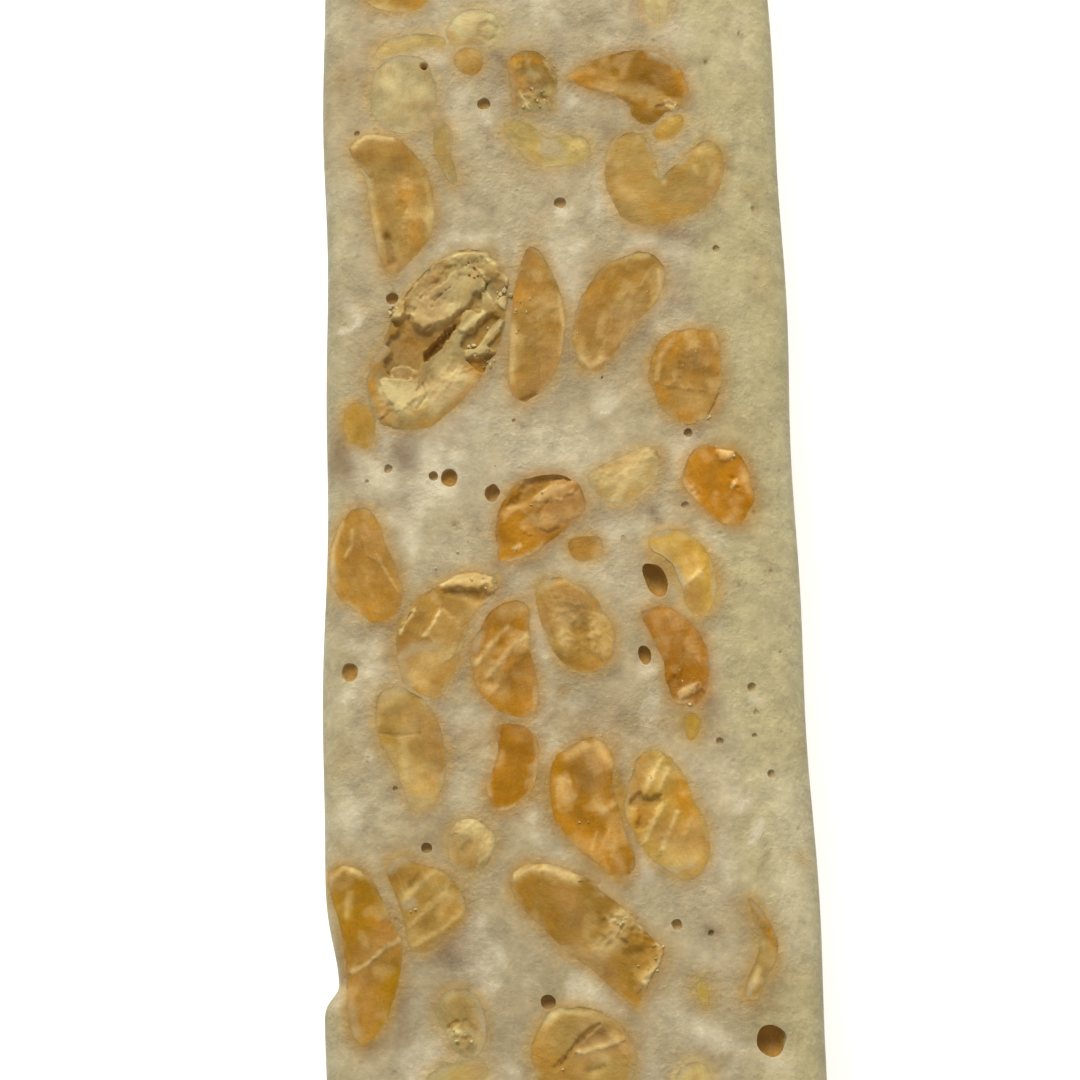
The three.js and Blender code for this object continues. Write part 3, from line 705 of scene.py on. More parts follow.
ridge 0.23 0.14 5 -13 11 -7
dark 0.23 0.3 -57 25 -38 4 -17 -16

peanut_sliver #a38441 0.4 13.7 -33.9
edge -6 39 0 33 6 25 11 15 14 3 11 -7 5 -16 1 -25 -3 -33 -10 -33 -12 -25 -8 -16 -3 -5 -1 6 -2 16 -5 27
warm 0.3 0.8 8 16 9 2
pale 0.3 0.7 -7 -23 -2 -12
film 0.23 0.6 -11 -32 -7 -23
ridge 0.23 0.12 4 23 9 9
dark 0.23 0.4 4 -9 0 -23
film 0.23 0.5 -4 36 2 27

peanut_crumbs #a38e58 0.8 -8 -38.4
edge -15 17 -10 24 -1 25 8 21 14 14 17 4 18 -6 16 -15 11 -22 4 -24 -4 -22 -9 -15 -11 -7 -16 0 -18 9
cave 0.18 0.2 -9 -2 -3 1
cave 0.17 0.18 0 -11 6 -10
rough 0.76 0.14 -7 -4 4 -15
pale 0.3 0.8 -4 -5 0 -9
ridge 0.18 0.14 -4 -5 0 -8
pale 0.3 0.5 -10 -7 -13 -11
hollow 0.23 0.14 3 1 9 -5
dark 0.38 0.3 -3 14 3 10
film 0.38 0.4 13 6 16 -5

peanut_small_near #b4a66c 0.6 -8.6 -42.3
edge -23 -3 -17 5 -7 10 4 12 16 13 23 8 22 0 13 -7 0 -13 -12 -15 -20 -11
warm 0.45 0.3 1 1 11 4
film 0.3 0.4 -17 0 -7 7

peanut_split #a98c4b 0.3 0.8 -40.6
edge -39 1 -36 13 -30 22 -22 29 -11 32 -1 32 10 29 20 23 28 16 34 7 36 -4 35 -15 28 -26 17 -34 2 -37 -13 -36
-27 -28 -36 -16
cave 0.2 0.26 -17 -9 -12 -2 -6 5 1 13 11 19
hollow 0.53 0.35 -1 6 10 11
dark 0.53 0.5 -2 6 10 11
cave 0.23 0.22 -21 -11 -15 -4
ridge 0.17 0.2 pale 0.18 0.9 -4 0 11 3 24 6
pale 0.3 0.7 -29 23 -16 29 3 27
warm 0.91 0.3 -28 5 -27 -8
ridge 0.38 0.15 20 12 26 1
pale 0.3 0.3 20 12 28 4
dark 0.3 0.4 -9 6 -5 11
hollow 0.3 0.2 3 -14 13 -11

peanut_near_right #e1d393 0.6 8.6 -42.9
edge -13 3 -8 11 0 14 7 11 12 3 11 -7 4 -14 -5 -16 -12 -9
warm 0.38 0.3 0 2 3 -4
film 0.3 0.5 -11 6 -3 12
"""

# Small chips that show flush in the nougat.
CHIPS = """
band #c4ac6c 0.7 -11.1 38.6
edge -28 -8 -25 0 -17 6 -5 9 9 11 22 9 29 5 28 -2 18 -2 7 -4 -4 -8 -14 -10 -23 -11

ember #b3914f 0.4 -6.3 37.1
edge -10 8 -2 12 7 10 12 3 11 -5 6 -11 -2 -12 -9 -7 -12 1

splinter #a38f59 0.5 -8.2 29.2
edge -8 26 -1 27 5 20 6 10 4 -1 7 -13 8 -23 5 -28 0 -21 -4 -12 -8 -5 -10 5 -10 15

fragment #c6a553 0.3 9.5 30.9
edge -12 -2 -6 5 0 10 10 12 13 6 10 -1 4 -8 -4 -10 -11 -8

left_mid #ae8709 0.25 -15.1 6.7
edge -12 12 -7 18 1 18 9 14 12 6 11 -4 9 -13 4 -19 -4 -15 -10 -11 -13 -1

under_flaked #a47e3d 0.3 2 -3.4
edge -14 4 -9 8 1 9 10 8 13 2 11 -6 5 -10 -5 -11 -12 -6

tail #a98934 0.4 9.4 -17.2
edge -5 8 1 10 6 6 6 -2 3 -9 -2 -12 -5 -6 -6 2

near_speck #ae994e 0.5 9.4 -36.7
edge -4 7 0 10 3 5 4 -2 3 -9 -2 -7 -4 -1

far_speck #c8b47c 0.9 9 41.8
edge -10 3 -5 15 3 17 10 8 9 -7 4 -17 -4 -15 -9 -7
"""

# The same kinds of mark on the nougat, from the bar's own middle: drag marks and dents, and darker, paler
# and warmer patches that are partly the nougat's own uneven tint and partly painted shade and painted light.
BLOCK_MARKS = """
pale 1.06 0.3 7 237 10 208
pale 0.38 0.7 7 240 12 236
pale 0.45 0.7 61 -131 68 -129
pale 0.61 0.7 -160 -139 -164 -146
pale 0.45 0.5 140 -151 144 -154
pale 0.45 0.5 -94 16 -81 13
pale 0.53 0.6 -52 324 -48 318
pale 0.68 0.7 34 79 43 83
pale 0.3 0.6 35 71 41 74
pale 0.91 0.35 38 -19 61 -19
pale 0.76 0.4 -106 7 -87 6
pale 0.3 0.9 -165 144 -157 145 -153 150
pale 0.53 0.6 -153 155 -163 170
pale 0.38 0.9 135 -259 138 -252 141 -247
pale 0.3 0.6 -9 -176 -7 -184
pale 0.45 0.5 127 -234 133 -228
pale 0.3 0.6 -143 -123 -148 -126
pale 0.23 0.7 -148 -187 -144 -190
pale 0.2 0.7 -26 -250 -21 -254
pale 0.45 0.5 -164 -358 -169 -368
pale 0.38 0.4 -124 164 -119 159
dark 1.67 0.16 52 400 76 405
dark 1.51 0.5 -168 51 -165 32
dark 1.21 0.3 -124 50 -118 37
dark 1.51 0.25 -168 179 -167 170
dark 1.51 0.3 -169 -79 -166 -95
dark 1.67 0.35 -34 362 -14 370
dark 1.06 0.25 117 219 109 214
dark 1.21 0.3 56 173 68 165
dark 1.36 0.22 -85 -163 -81 -178
dark 1.06 0.35 -41 -176 -39 -168
dark 1.36 0.28 19 -162 56 -168
dark 0.91 0.4 -95 -331 -89 -340
dark 1.21 0.3 -126 -366 -122 -387
dark 1.21 0.28 33 -370 35 -377
dark 1.06 0.25 94 -137 102 -130
dark 1.51 0.2 -122 -86 -125 -71
warm 0.68 0.35 36 -177 42 -185
warm 0.53 0.4 38 -218 39 -230
warm 0.61 0.25 -72 -175 -71 -186
pale 3.33 0.3 -75 39 25 39
pale 1.67 0.45 6 189 19 169
pale 1.67 0.5 63 266 56 249
pale 1.97 0.35 30 -51 59 -68
pale 1.51 0.25 -82 -41 -91 -37
pale 1.51 0.5 67 -186 60 -219
pale 1.97 0.45 161 -221 165 -251
pale 1.82 0.45 163 -287 165 -331
pale 1.06 0.2 88 -286 110 -293
pale 1.51 0.3 157 403 158 367
pale 1.21 0.3 63 -378 91 -393
dark 1.21 0.18 21 392 11 382
dark 0.91 0.3 -27 321 -3 322
dark 0.45 0.5 -42 381 -35 372
dark 0.3 0.5 -34 367 -28 367
dark 0.45 0.25 -64 250 -48 243
dark 0.3 0.22 -50 310 -47 298
dark 0.61 0.2 44 313 50 302
dark 0.23 0.5 -91 290 -86 278 -79 267
dark 0.45 0.14 44 406 35 395
dark 0.91 0.2 16 129 22 84
dark 0.68 0.3 73 144 60 128
dark 1.06 0.3 -158 370 -163 359
dark 0.91 0.3 85 216 109 217
dark 0.61 0.2 121 217 134 225
dark 0.91 0.22 -90 54 -67 70
dark 0.68 0.25 -3 78 8 99
dark 0.61 0.3 -10 28 -29 22
dark 0.76 0.22 31 -8 69 -1
dark 0.53 0.35 71 -7 75 -13
dark 0.61 0.28 -42 -54 -16 -41
dark 0.38 0.35 -76 -118 -78 -133
dark 0.61 0.2 -3 -143 41 -151
dark 0.61 0.3 37 -277 59 -285
dark 0.76 0.2 100 -169 110 -153
dark 0.3 0.2 -105 87 -108 79
dark 0.61 0.22 88 -286 110 -279
dark 0.61 0.6 98 -320 105 -323
dark 0.38 0.6 -170 -317 -167 -337 -165 -348
dark 0.38 0.3 138 -285 144 -272
dark 0.3 0.25 131 -221 136 -228
dark 0.91 0.22 -73 -325 -51 -315
dark 0.76 0.18 -74 -403 -53 -410
dark 0.38 0.25 -129 -213 -126 -216
dark 0.61 0.2 -20 -232 -5 -225
dark 0.45 0.25 149 -380 135 -381
warm 0.38 0.22 1 -143 -2 -147
warm 0.3 0.3 157 -53 160 -58
warm 0.45 0.45 169 -269 174 -272
warm 0.23 0.4 -2 -142 1 -144
warm 0.76 0.25 -162 361 -166 356
warm 0.45 0.2 35 66 38 61
warm 0.68 0.3 158 257 164 258
ridge 0.23 0.12 133 -261 138 -252 143 -247
hollow 0.18 0.14 137 -281 143 -274 147 -267
hollow 0.68 0.12 11 393 44 406
hollow 0.53 0.1 -64 248 -47 241
hollow 0.38 0.14 -50 310 -47 296
hollow 0.45 0.1 45 313 50 300
hollow 0.38 0.2 73 -9 76 -15
hollow 0.3 0.16 -80 -11 -77 -14
hollow 0.3 0.14 -3 -143 1 -146
hollow 0.45 0.1 171 -35 176 -41
hollow 0.38 0.1 131 -62 136 -69
hollow 0.3 0.14 156 385 158 392
hollow 0.3 0.12 144 403 147 398
hollow 0.3 0.12 127 366 129 370
hollow 0.3 0.14 146 271 143 274
hollow 0.38 0.12 163 246 165 242
hollow 0.23 0.14 175 28 177 30
hollow 0.23 0.16 157 -116 158 -113
hollow 0.15 0.2 166 -53 158 -51
crack 0.11 0.1 8 -282 15 -288 24 -284
ridge 0.38 0.1 -124 166 -118 158
ridge 0.3 0.14 7 238 13 236
ridge 0.38 0.1 -52 320 -45 322
ridge 0.3 0.14 -31 -54 -35 -50
ridge 0.91 0.12 -160 -146 -171 -150
ridge 0.45 0.12 63 -131 71 -128
ridge 0.61 0.14 141 -416 155 -412
ridge 0.53 0.1 -92 11 -79 11
dark 0.68 0.5 37 -211 39 -236
warm 1.06 0.25 151 1 146 -15
warm 0.91 0.3 98 -17 89 2
warm 0.61 0.35 -26 -67 -23 -83
warm 0.76 0.3 77 -76 73 -66
dark 1.14 0.2 -121 43 -117 7
dark 1.97 0.14 -71 -170 70 -173
warm 1.97 0.14 -71 -170 85 -173
pale 1.06 0.2 -82 -212 -75 -223
warm 0.61 0.3 -17 -202 -16 -225
warm 0.91 0.15 34 -374 48 -381
pale 1.67 0.18 93 -332 107 -343
dark 1.67 0.14 -160 -365 -95 -367
pale 1.21 0.14 -168 280 -167 254
pale 1.51 0.14 -29 41 32 39
pale 2.27 0.12 168 56 165 -139
dark 1.21 0.14 97 206 107 164
dark 0.91 0.2 10 336 23 297
dark 0.91 0.15 -171 358 -163 340
warm 0.61 0.35 68 -44 78 -56
warm 1.06 0.2 -47 -173 -63 -176
warm 0.91 0.2 -133 -94 -131 -132
pale 0.76 0.3 -28 -64 -24 -73
pale 0.61 0.4 37 271 37 249
dark 1.06 0.22 111 -290 121 -301
dark 1.06 0.3 -167 44 -159 24
dark 0.91 0.22 -95 -328 -81 -339
dark 1.06 0.22 99 -407 115 -414
pale 0.76 0.3 47 -412 54 -423
pale 1.06 0.25 -126 405 -110 392
pale 0.91 0.2 -85 418 -81 404
pale 0.91 0.2 -171 314 -167 297
dark 1.51 0.42 -82 -321 -70 -336
warm 0.91 0.9 36 -210 39 -235
warm 1.67 0.24 83 -131 85 -145
warm 1.06 0.6 29 -227 46 -235
warm 1.06 0.25 34 -278 41 -286
warm 0.91 0.3 77 -42 81 -49
dark 1.06 0.14 -87 -349 -79 -356
pale 0.91 0.14 35 -25 39 -30
warm 1.21 0.25 75 -45 81 -56
dark 1.21 0.16 -94 -243 -86 -281
dark 0.91 0.14 -135 -205 -129 -214
dark 1.06 0.16 -170 -243 -166 -254
pale 0.61 0.3 -57 -77 -62 -92
pale 0.61 0.25 -19 -104 -17 -116
pale 1.06 0.18 81 -4 87 -9
pale 1.06 0.16 140 130 145 122
pale 1.06 0.14 140 167 145 159
pale 1.06 0.16 98 397 103 392
pale 1.06 0.14 97 353 101 348
pale 1.06 0.16 143 305 147 300
dark 0.91 0.16 -82 352 -77 347
dark 0.91 0.14 11 346 15 341
dark 0.91 0.14 -78 264 -73 257
pale 0.76 0.16 6 271 9 264
pale 1.21 0.26 139 -412 144 -419
dark 1.06 0.14 148 -370 152 -377
pale 1.21 0.14 122 -225 126 -232
warm 1.67 0.22 82 -173 85 -182
warm 0.91 0.4 -29 -218 -21 -226
warm 0.76 0.25 71 -68 76 -63
pale 1.21 0.22 2 -5 10 -9
pale 1.21 0.16 83 -7 89 -12
pale 1.06 0.4 111 -28 118 -33
pale 1.06 0.3 144 -418 151 -420
dark 0.91 0.2 9 125 10 117
dark 1.21 0.2 -82 73 -73 70
dark 1.21 0.14 -124 47 -118 37
warm 1.06 0.25 83 40 90 32
dark 1.06 0.2 -128 -86 -124 -96
dark 1.06 0.15 -134 -129 -131 -140
warm 0.91 0.25 34 -281 41 -286
dark 0.91 0.15 35 -360 37 -367
pale 1.06 0.2 -74 314 -66 307
pale 1.06 0.12 -85 -207 -80 -211
dark 0.91 0.12 -123 6 -118 -2
dark 0.53 0.25 37 -226 39 -236
pale 1.36 0.4 84 -199 91 -206
pale 1.51 0.34 119 -209 122 -222
dark 1.14 0.26 -117 49 -110 31
dark 0.91 0.22 -120 7 -114 -9
pale 0.91 0.3 -14 -261 -6 -270
dark 1.29 0.26 96 164 106 154
dark 1.21 0.26 -126 -398 -117 -410
dark 1.06 0.26 -40 353 -36 334
pale 1.29 0.3 99 400 117 386
"""

# The ball that hollows out a bubble, how uneven it is, and how much flatter where its middle lies deep.
BUBBLE_BALL = {"segments": 24, "ring_count": 14}
BUBBLE_STRAY = 0.15
BUBBLE_FLATTER = 0.35
BUBBLE_SEED = 30
# Open gas bubbles: x, y, width, length, turn in degrees, depth, and how far the middle lies below the face.
BUBBLES = [
    (-5.13, 33.4, 1.15, 1.1, 0, 0.48, 0.2), (-15.3, 31.05, 0.5, 0.5, 0, 0.2, 0.25),
    (0.72, 24.75, 0.95, 0.9, 0, 0.37, 0.2), (12.88, 20.66, 0.65, 0.6, 0, 0.23, 0.25),
    (-12.61, 17.01, 1.1, 1.05, 0, 0.54, 0.25), (10.06, 5.53, 0.66, 0.72, 80, 0.38, 0.25),
    (-13.02, 3.2, 0.72, 0.66, 0, 0.3, 0.25), (-9.58, 2.56, 0.8, 0.76, 0, 0.48, 0.25),
    (-8.36, 2.37, 1.45, 1.25, 0, 0.62, 0.15), (-5.1, 1.1, 1.12, 1.45, 80, 0.75, 0.25),
    (9.6, -0.2, 0.6, 0.55, -60, 0.24, 0.25), (7.17, -6.01, 1.85, 2.85, -68, 1.1, 0.25),
    (6.13, -11.76, 1.55, 1, 10, 0.58, 0.25), (-15.97, -12.52, 1.5, 1.3, 20, 0.5, 0.1),
    (14.03, -14.38, 0.8, 0.75, 0, 0.3, 0.2), (11.46, -18.38, 0.6, 0.6, 0, 0.26, 0.25),
    (14.08, -18, 0.42, 0.42, 0, 0.18, 0.25), (15.2, -20.86, 0.7, 0.68, 0, 0.28, 0.25),
    (-12.67, -21.37, 0.4, 0.4, 0, 0.18, 0.25), (-10.36, -25.76, 0.86, 0.86, 0, 0.46, 0.25),
    (7.74, -31.77, 0.8, 0.8, 0, 0.44, 0.2), (10.18, -32.41, 0.42, 0.46, 60, 0.28, 0.25),
    (-1.77, -37.09, 1.1, 1.1, 0, 0.64, 0.25), (14.22, -40.14, 2.1, 2.35, -40, 1.3, 0.25),
    (16.41, -11.63, 0.3, 0.3, 0, 0.1, 0.25), (-7.96, -1.35, 0.4, 0.36, 0, 0.16, 0.25),
    (-14.63, 2.21, 0.34, 0.3, 0, 0.16, 0.25), (-3.29, 6.81, 0.36, 0.36, 0, 0.16, 0.25),
    (3.59, 10.13, 0.22, 0.22, 0, 0.12, 0.25), (4.86, -2.84, 0.8, 0.5, 10, 0.16, 0.1),
    (12.78, 36.65, 0.4, 0.6, 80, 0.22, 0.1), (15.65, 39.4, 0.34, 0.55, 85, 0.2, 0.1),
    (17.15, 2.71, 0.34, 0.4, 60, 0.1, 0.25), (13.5, -6.63, 0.5, 0.45, 0, 0.15, 0.1),
    (14.31, -16.28, 0.55, 0.5, 0, 0.17, 0.1), (16.13, 24.21, 0.7, 0.6, 0, 0.2, 0.1),
]

# No crumb reaches higher than this.
CRUMB_CEILING = 18.4
# How unevenly a crumb's corners stand out, how it is squashed each way, how bright it is, how far its middle
# lies above where it rests and how far its top may reach above its middle, as shares of its size.
CRUMB_CORNERS = (0.55, 1.25)
CRUMB_SQUASH = (0.5, 1.3)
CRUMB_LIGHT = (0.62, 0.85)
CRUMB_RESTS = 0.3
CRUMB_REACH = 0.6
# How high in metres above the base the search for a crumb's resting place starts.
SEARCH_FROM = 0.03
# The one group of crumbs that is beige: the others are cream.
BEIGE_GROUP = 5
# Groups of crumbs and sugar grains: x, y, spread, how many, smallest, largest, and how far down.
CRUMBS = [
    (-5.5, 13, 0.61, 8, 0.14, 0.36, 0), (-0.6, 33.8, 0.61, 9, 0.14, 0.34, 0),
    (-2.6, 16.3, 0.53, 4, 0.12, 0.24, 0), (-3.1, 13.8, 0.45, 3, 0.1, 0.2, 0),
    (-9.5, 15.4, 0.53, 9, 0.16, 0.4, 0.05), (-5.9, 19.3, 0.91, 8, 0.14, 0.34, 0),
    (-11.8, 15.7, 0.38, 5, 0.14, 0.34, 0.1), (-1.6, 33.4, 0.3, 4, 0.12, 0.27, 0),
    (0.5, 36.1, 0.3, 3, 0.1, 0.24, 0), (0.2, 36.8, 0.38, 2, 0.1, 0.19, 0),
    (9.6, 32.9, 0.23, 3, 0.12, 0.27, 0), (10.6, 12.2, 0.19, 2, 0.16, 0.29, 0.1),
    (10.2, 11.1, 0.19, 3, 0.14, 0.29, 0.15), (9.7, 9.7, 0.15, 2, 0.12, 0.21, 0.1),
    (11.8, 6.5, 0.3, 4, 0.12, 0.24, 0), (13.6, 1.5, 0.23, 2, 0.1, 0.19, 0),
    (13.3, 3.5, 0.23, 2, 0.14, 0.27, 0), (-3.4, -3.3, 0.23, 2, 0.12, 0.22, 0),
    (-1.1, 0.2, 0.68, 4, 0.12, 0.24, 0), (-7.2, -5.7, 0.91, 7, 0.16, 0.32, 0),
    (-5.4, -6.3, 0.3, 3, 0.14, 0.26, 0), (9.2, -14.5, 0.38, 4, 0.14, 0.29, 0.05),
    (9.3, -15.7, 0.45, 4, 0.12, 0.27, 0), (2.9, -32, 0.61, 3, 0.12, 0.27, 0),
    (3.8, -31.3, 0.23, 4, 0.14, 0.29, 0), (6, -34.8, 0.45, 4, 0.16, 0.34, 0),
    (6.6, -33.2, 0.23, 2, 0.14, 0.24, 0), (-8.1, -39, 0.45, 6, 0.14, 0.32, 0),
    (-0.6, -41.5, 0.3, 2, 0.12, 0.24, 0), (1.2, -24.2, 0.23, 2, 0.12, 0.21, 0),
    (6.2, -20.9, 0.38, 3, 0.1, 0.21, 0), (-11.8, -29.9, 0.3, 3, 0.12, 0.24, 0),
    (1.9, 14.1, 0.15, 1, 0.12, 0.18, 0), (9, 17.2, 3.03, 6, 0.08, 0.13, 0),
    (0.8, 29.3, 4.54, 11, 0.08, 0.14, 0), (-1.4, 0.5, 4.54, 10, 0.08, 0.13, 0),
    (4.1, -16.6, 4.54, 10, 0.08, 0.13, 0), (-6.5, -29.6, 4.54, 8, 0.08, 0.13, 0),
    (11.9, -7.7, 3.03, 8, 0.08, 0.13, 0), (-14.5, -18.9, 0.23, 2, 0.12, 0.21, 0),
    (-3.8, 17.4, 0.45, 8, 0.2, 0.46, 0), (-6.6, 12.5, 0.3, 5, 0.18, 0.4, 0),
    (-12.4, 15.9, 0.3, 6, 0.24, 0.5, 0.02), (-5.2, 11.5, 0.38, 6, 0.14, 0.32, 0),
    (-8.3, 14.3, 0.38, 4, 0.12, 0.26, 0),
]

# ---------------------------------------------------------------- numbers that vary smoothly over the bar

LATTICE = 128
LATTICE_START = (31.7, 57.3)
FIRST_TURN, NEXT_TURN = 0.6, 1.7
_lattices = {}

# Layers of unevenness: lump size in mm, strength and the layer's own seed.
TOP_LAYERS = ((7.0, 0.08, 1), (2.6, 0.07, 2), (1.1, 0.04, 3))
WALL_LAYERS = ((6.0, 0.13, 4), (2.4, 0.06, 5))
END_LAYERS = ((4.0, 0.08, 6), (1.5, 0.03, 7))
RIND_LAYERS = ((5.0, 0.8, 21), (1.6, 0.3, 22))
MOTTLE_LAYERS = ((4.5, 0.85, 23), (1.8, 0.5, 24), (0.8, 0.3, 25))
RIM_LAYERS = ((1.3, 1.0, 0), (0.55, 0.6, 1), (0.3, 0.4, 2))
DRIFT_LAYERS = ((0.9, 1.3, 0), (0.4, 1.0, 1), (0.2, 0.6, 4))
ROUGH_LAYERS = ((0.6, 1.0, 2), (0.27, 0.7, 3))
RAGGED_LAYERS = ((0.6, 0.1, 18), (0.26, 0.07, 19))
CUT_LAYERS = ((1.7, 0.05, 5), (0.7, 0.026, 6), (0.3, 0.012, 7))
SMEAR_LAYERS = ((1.5, 0.34, 8), (0.45, 0.16, 9), (0.2, 0.1, 13))
BLOTCH_LAYERS = ((1.4, 1.0, 20), (0.6, 0.5, 21))
SHINE_LAYERS = ((2.2, 0.11, 10), (1.1, 0.09, 12), (0.45, 0.05, 11))


def grain(x, y, size, seed):
    """Smooth random unevenness between -1 and 1, with lumps about size mm across."""
    if seed not in _lattices:
        _lattices[seed] = np.random.default_rng(seed).uniform(-1.0, 1.0, (LATTICE, LATTICE))
    table = _lattices[seed]
    turn = FIRST_TURN + seed * NEXT_TURN
    u = (x * math.cos(turn) - y * math.sin(turn)) / size + LATTICE_START[0]
    v = (x * math.sin(turn) + y * math.cos(turn)) / size + LATTICE_START[1]
    i, j = np.floor(u).astype(int), np.floor(v).astype(int)
    fu, fv = u - i, v - j
    fu, fv = fu * fu * (3 - 2 * fu), fv * fv * (3 - 2 * fv)
    i0, j0, i1, j1 = i % LATTICE, j % LATTICE, (i + 1) % LATTICE, (j + 1) % LATTICE
    low = table[i0, j0] * (1 - fu) + table[i1, j0] * fu
    high = table[i0, j1] * (1 - fu) + table[i1, j1] * fu
    return low * (1 - fv) + high * fv


def grains(x, y, layers, seed=0):
    """Layers of unevenness added up."""
    return sum(strength * grain(x, y, size, seed + own) for size, strength, own in layers)


def smooth_step(value, low, high):
    """From 0 at low to 1 at high, with no corners."""
    share = np.clip((value - low) / (high - low), 0.0, 1.0)
    return share * share * (3 - 2 * share)


def patches(x, y, size, seed, low, high):
    """Soft patches about size mm across: 0 where the unevenness is under low, 1 where it is over high."""
    return smooth_step(grain(x, y, size, seed), low, high)


def side_wave(y, shift):
    """How far the sides stray from straight along the bar."""
    return sum(high * np.sin(2 * np.pi * y / long + phase + shift) for long, high, phase in SIDE_WAVES)


def left_edge(y):
    """Where the bar's left side stands, across the bar."""
    reach = np.where(y > LEFT_DENT["at"], LEFT_DENT["far_reach"], LEFT_DENT["near_reach"])
    dent = LEFT_DENT["deep"] * np.exp(-(((y - LEFT_DENT["at"]) / reach) ** 2))
    return -HALF_WIDE + side_wave(y, 0.0) + dent


def right_edge(y):
    """Where the bar's right side stands, across the bar."""
    swell = RIGHT_SWELL["high"] * np.cos(2 * np.pi * (y - RIGHT_SWELL["at"]) / RIGHT_SWELL["long"])
    return HALF_WIDE + side_wave(y, RIGHT_WAVE_SHIFT) + RIGHT_SWELL["mean"] + swell


def top_height(x, y):
    """The cut top with its two oval shoulders, and the gentle unevenness that nougat and nuts share."""
    left = np.clip((x - left_edge(y)) / LEFT_SHOULDER["wide"], 0.0, 1.0)
    right = np.clip((right_edge(y) - x) / RIGHT_SHOULDER["wide"], 0.0, 1.0)
    drop = LEFT_SHOULDER["high"] * (1 - np.sqrt(1 - (1 - left) ** 2))
    drop = drop + RIGHT_SHOULDER["high"] * (1 - np.sqrt(1 - (1 - right) ** 2))
    uneven = grains(x, y, TOP_LAYERS)
    return BAR_HIGH - drop + uneven * smooth_step(left, 0.0, 0.6) * smooth_step(right, 0.0, 0.4)


def wall_bulge(y, z):
    """How far a side wall stands out of its straight line: nothing at its edges."""
    lively = smooth_step(z, BASE_ROUND, 4.0) * smooth_step(BAR_HIGH - 2.6 - z, 0.0, 2.5)
    return lively * grains(y, z, WALL_LAYERS)


def end_bulge(x, z):
    """How far a cut end stands out: slightly hollow, and nothing at its edges."""
    lively = smooth_step(HALF_WIDE - 1 - np.abs(x), 0.0, 3.0)
    lively = lively * smooth_step(BAR_HIGH / 2 - 1 - np.abs(z - END_MIDDLE), 0, 3)
    return -lively * (END_HOLLOW + grains(x, z, END_LAYERS))


def on_face(face, u, v, out):
    """Points in the bar's frame from a place on a face (as the solids lay it out) and a height above it."""
    flat = np.zeros_like(u) + out
    if face == "top":
        return np.stack([u, v, top_height(u, v) + flat], 1)
    if face == "base":
        return np.stack([u, -v, -flat], 1)
    if face == "left":
        return np.stack([left_edge(-u) - wall_bulge(-u, v) - flat, -u, v], 1)
    if face == "right":
        return np.stack([right_edge(u) + wall_bulge(u, v) + flat, u, v], 1)
    if face == "far":
        return np.stack([-u, HALF_LONG + end_bulge(-u, v) + flat, v], 1)
    return np.stack([u, -HALF_LONG - end_bulge(u, v) - flat, v], 1)


# face: which way is out, and how a node's points are read as u and v
FACES = {
    "top": ((0, 0, 1), lambda p: (p[:, 0], p[:, 1])),
    "base": ((0, 0, -1), lambda p: (p[:, 0], -p[:, 1])),
    "left": ((-1, 0, 0), lambda p: (-p[:, 1], p[:, 2])),
    "right": ((1, 0, 0), lambda p: (p[:, 1], p[:, 2])),
    "far": ((0, 1, 0), lambda p: (-p[:, 0], p[:, 2])),
    "near": ((0, -1, 0), lambda p: (p[:, 0], p[:, 2])),
}

# ---------------------------------------------------------------- outlines


def even_loop(points, step):
    """The closed line through the points, with new points a step apart."""
    points = np.asarray(points, float)
    ring = np.vstack([points, points[:1]])
    walked = np.concatenate([[0.0], np.cumsum(np.linalg.norm(np.diff(ring, axis=0), axis=1))])
    count = max(8, int(round(walked[-1] / step)))
    at = np.linspace(0.0, walked[-1], count, endpoint=False)
    return np.stack([np.interp(at, walked, ring[:, 0]), np.interp(at, walked, ring[:, 1])], 1)


def soft_loop(points, step, tension=0.5):
    """An even closed curve that passes through the points without corners."""
    p = np.asarray(points, float)
    before, after, beyond = np.roll(p, 1, 0), np.roll(p, -1, 0), np.roll(p, -2, 0)
    pieces = []
    for t in np.linspace(0.0, 1.0, 6, endpoint=False):
        pieces.append(
            (2 * t**3 - 3 * t**2 + 1) * p
            + (t**3 - 2 * t**2 + t) * tension * (after - before)
            + (-2 * t**3 + 3 * t**2) * after
            + (t**3 - t**2) * tension * (beyond - p)
        )
    return even_loop(np.stack(pieces, 1).reshape(-1, 2), step)


def signed_area(loop):
    """A loop's area, positive where it runs anticlockwise."""
    x, y = loop[:, 0], loop[:, 1]
    return 0.5 * float(np.dot(x, np.roll(y, -1)) - np.dot(y, np.roll(x, -1)))


def loop_normals(loop):
    """The way out at each point of an anticlockwise loop."""
    along = np.roll(loop, -1, 0) - np.roll(loop, 1, 0)
    along /= np.maximum(np.linalg.norm(along, axis=1, keepdims=True), 1e-9)
    return np.stack([along[:, 1], -along[:, 0]], 1)


def line_distance(points, line, closed=False):
    """Distance from each point to a line of points, and the nearest place on it."""
    line = np.asarray(line, float)
    if len(line) == 1:
        line = np.vstack([line, line])
    ends = np.roll(line, -1, 0) if closed else line[1:]
    starts = line if closed else line[:-1]
    best = np.full(len(points), np.inf)
    place = np.zeros((len(points), 2))
    for start, end in zip(starts, ends):
        edge = end - start
        share = np.clip(((points - start) @ edge) / max(float(edge @ edge), 1e-12), 0.0, 1.0)
        near = start + share[:, None] * edge
        far = np.linalg.norm(points - near, axis=1)
        closer = far < best
        best[closer], place[closer] = far[closer], near[closer]
    return best, place


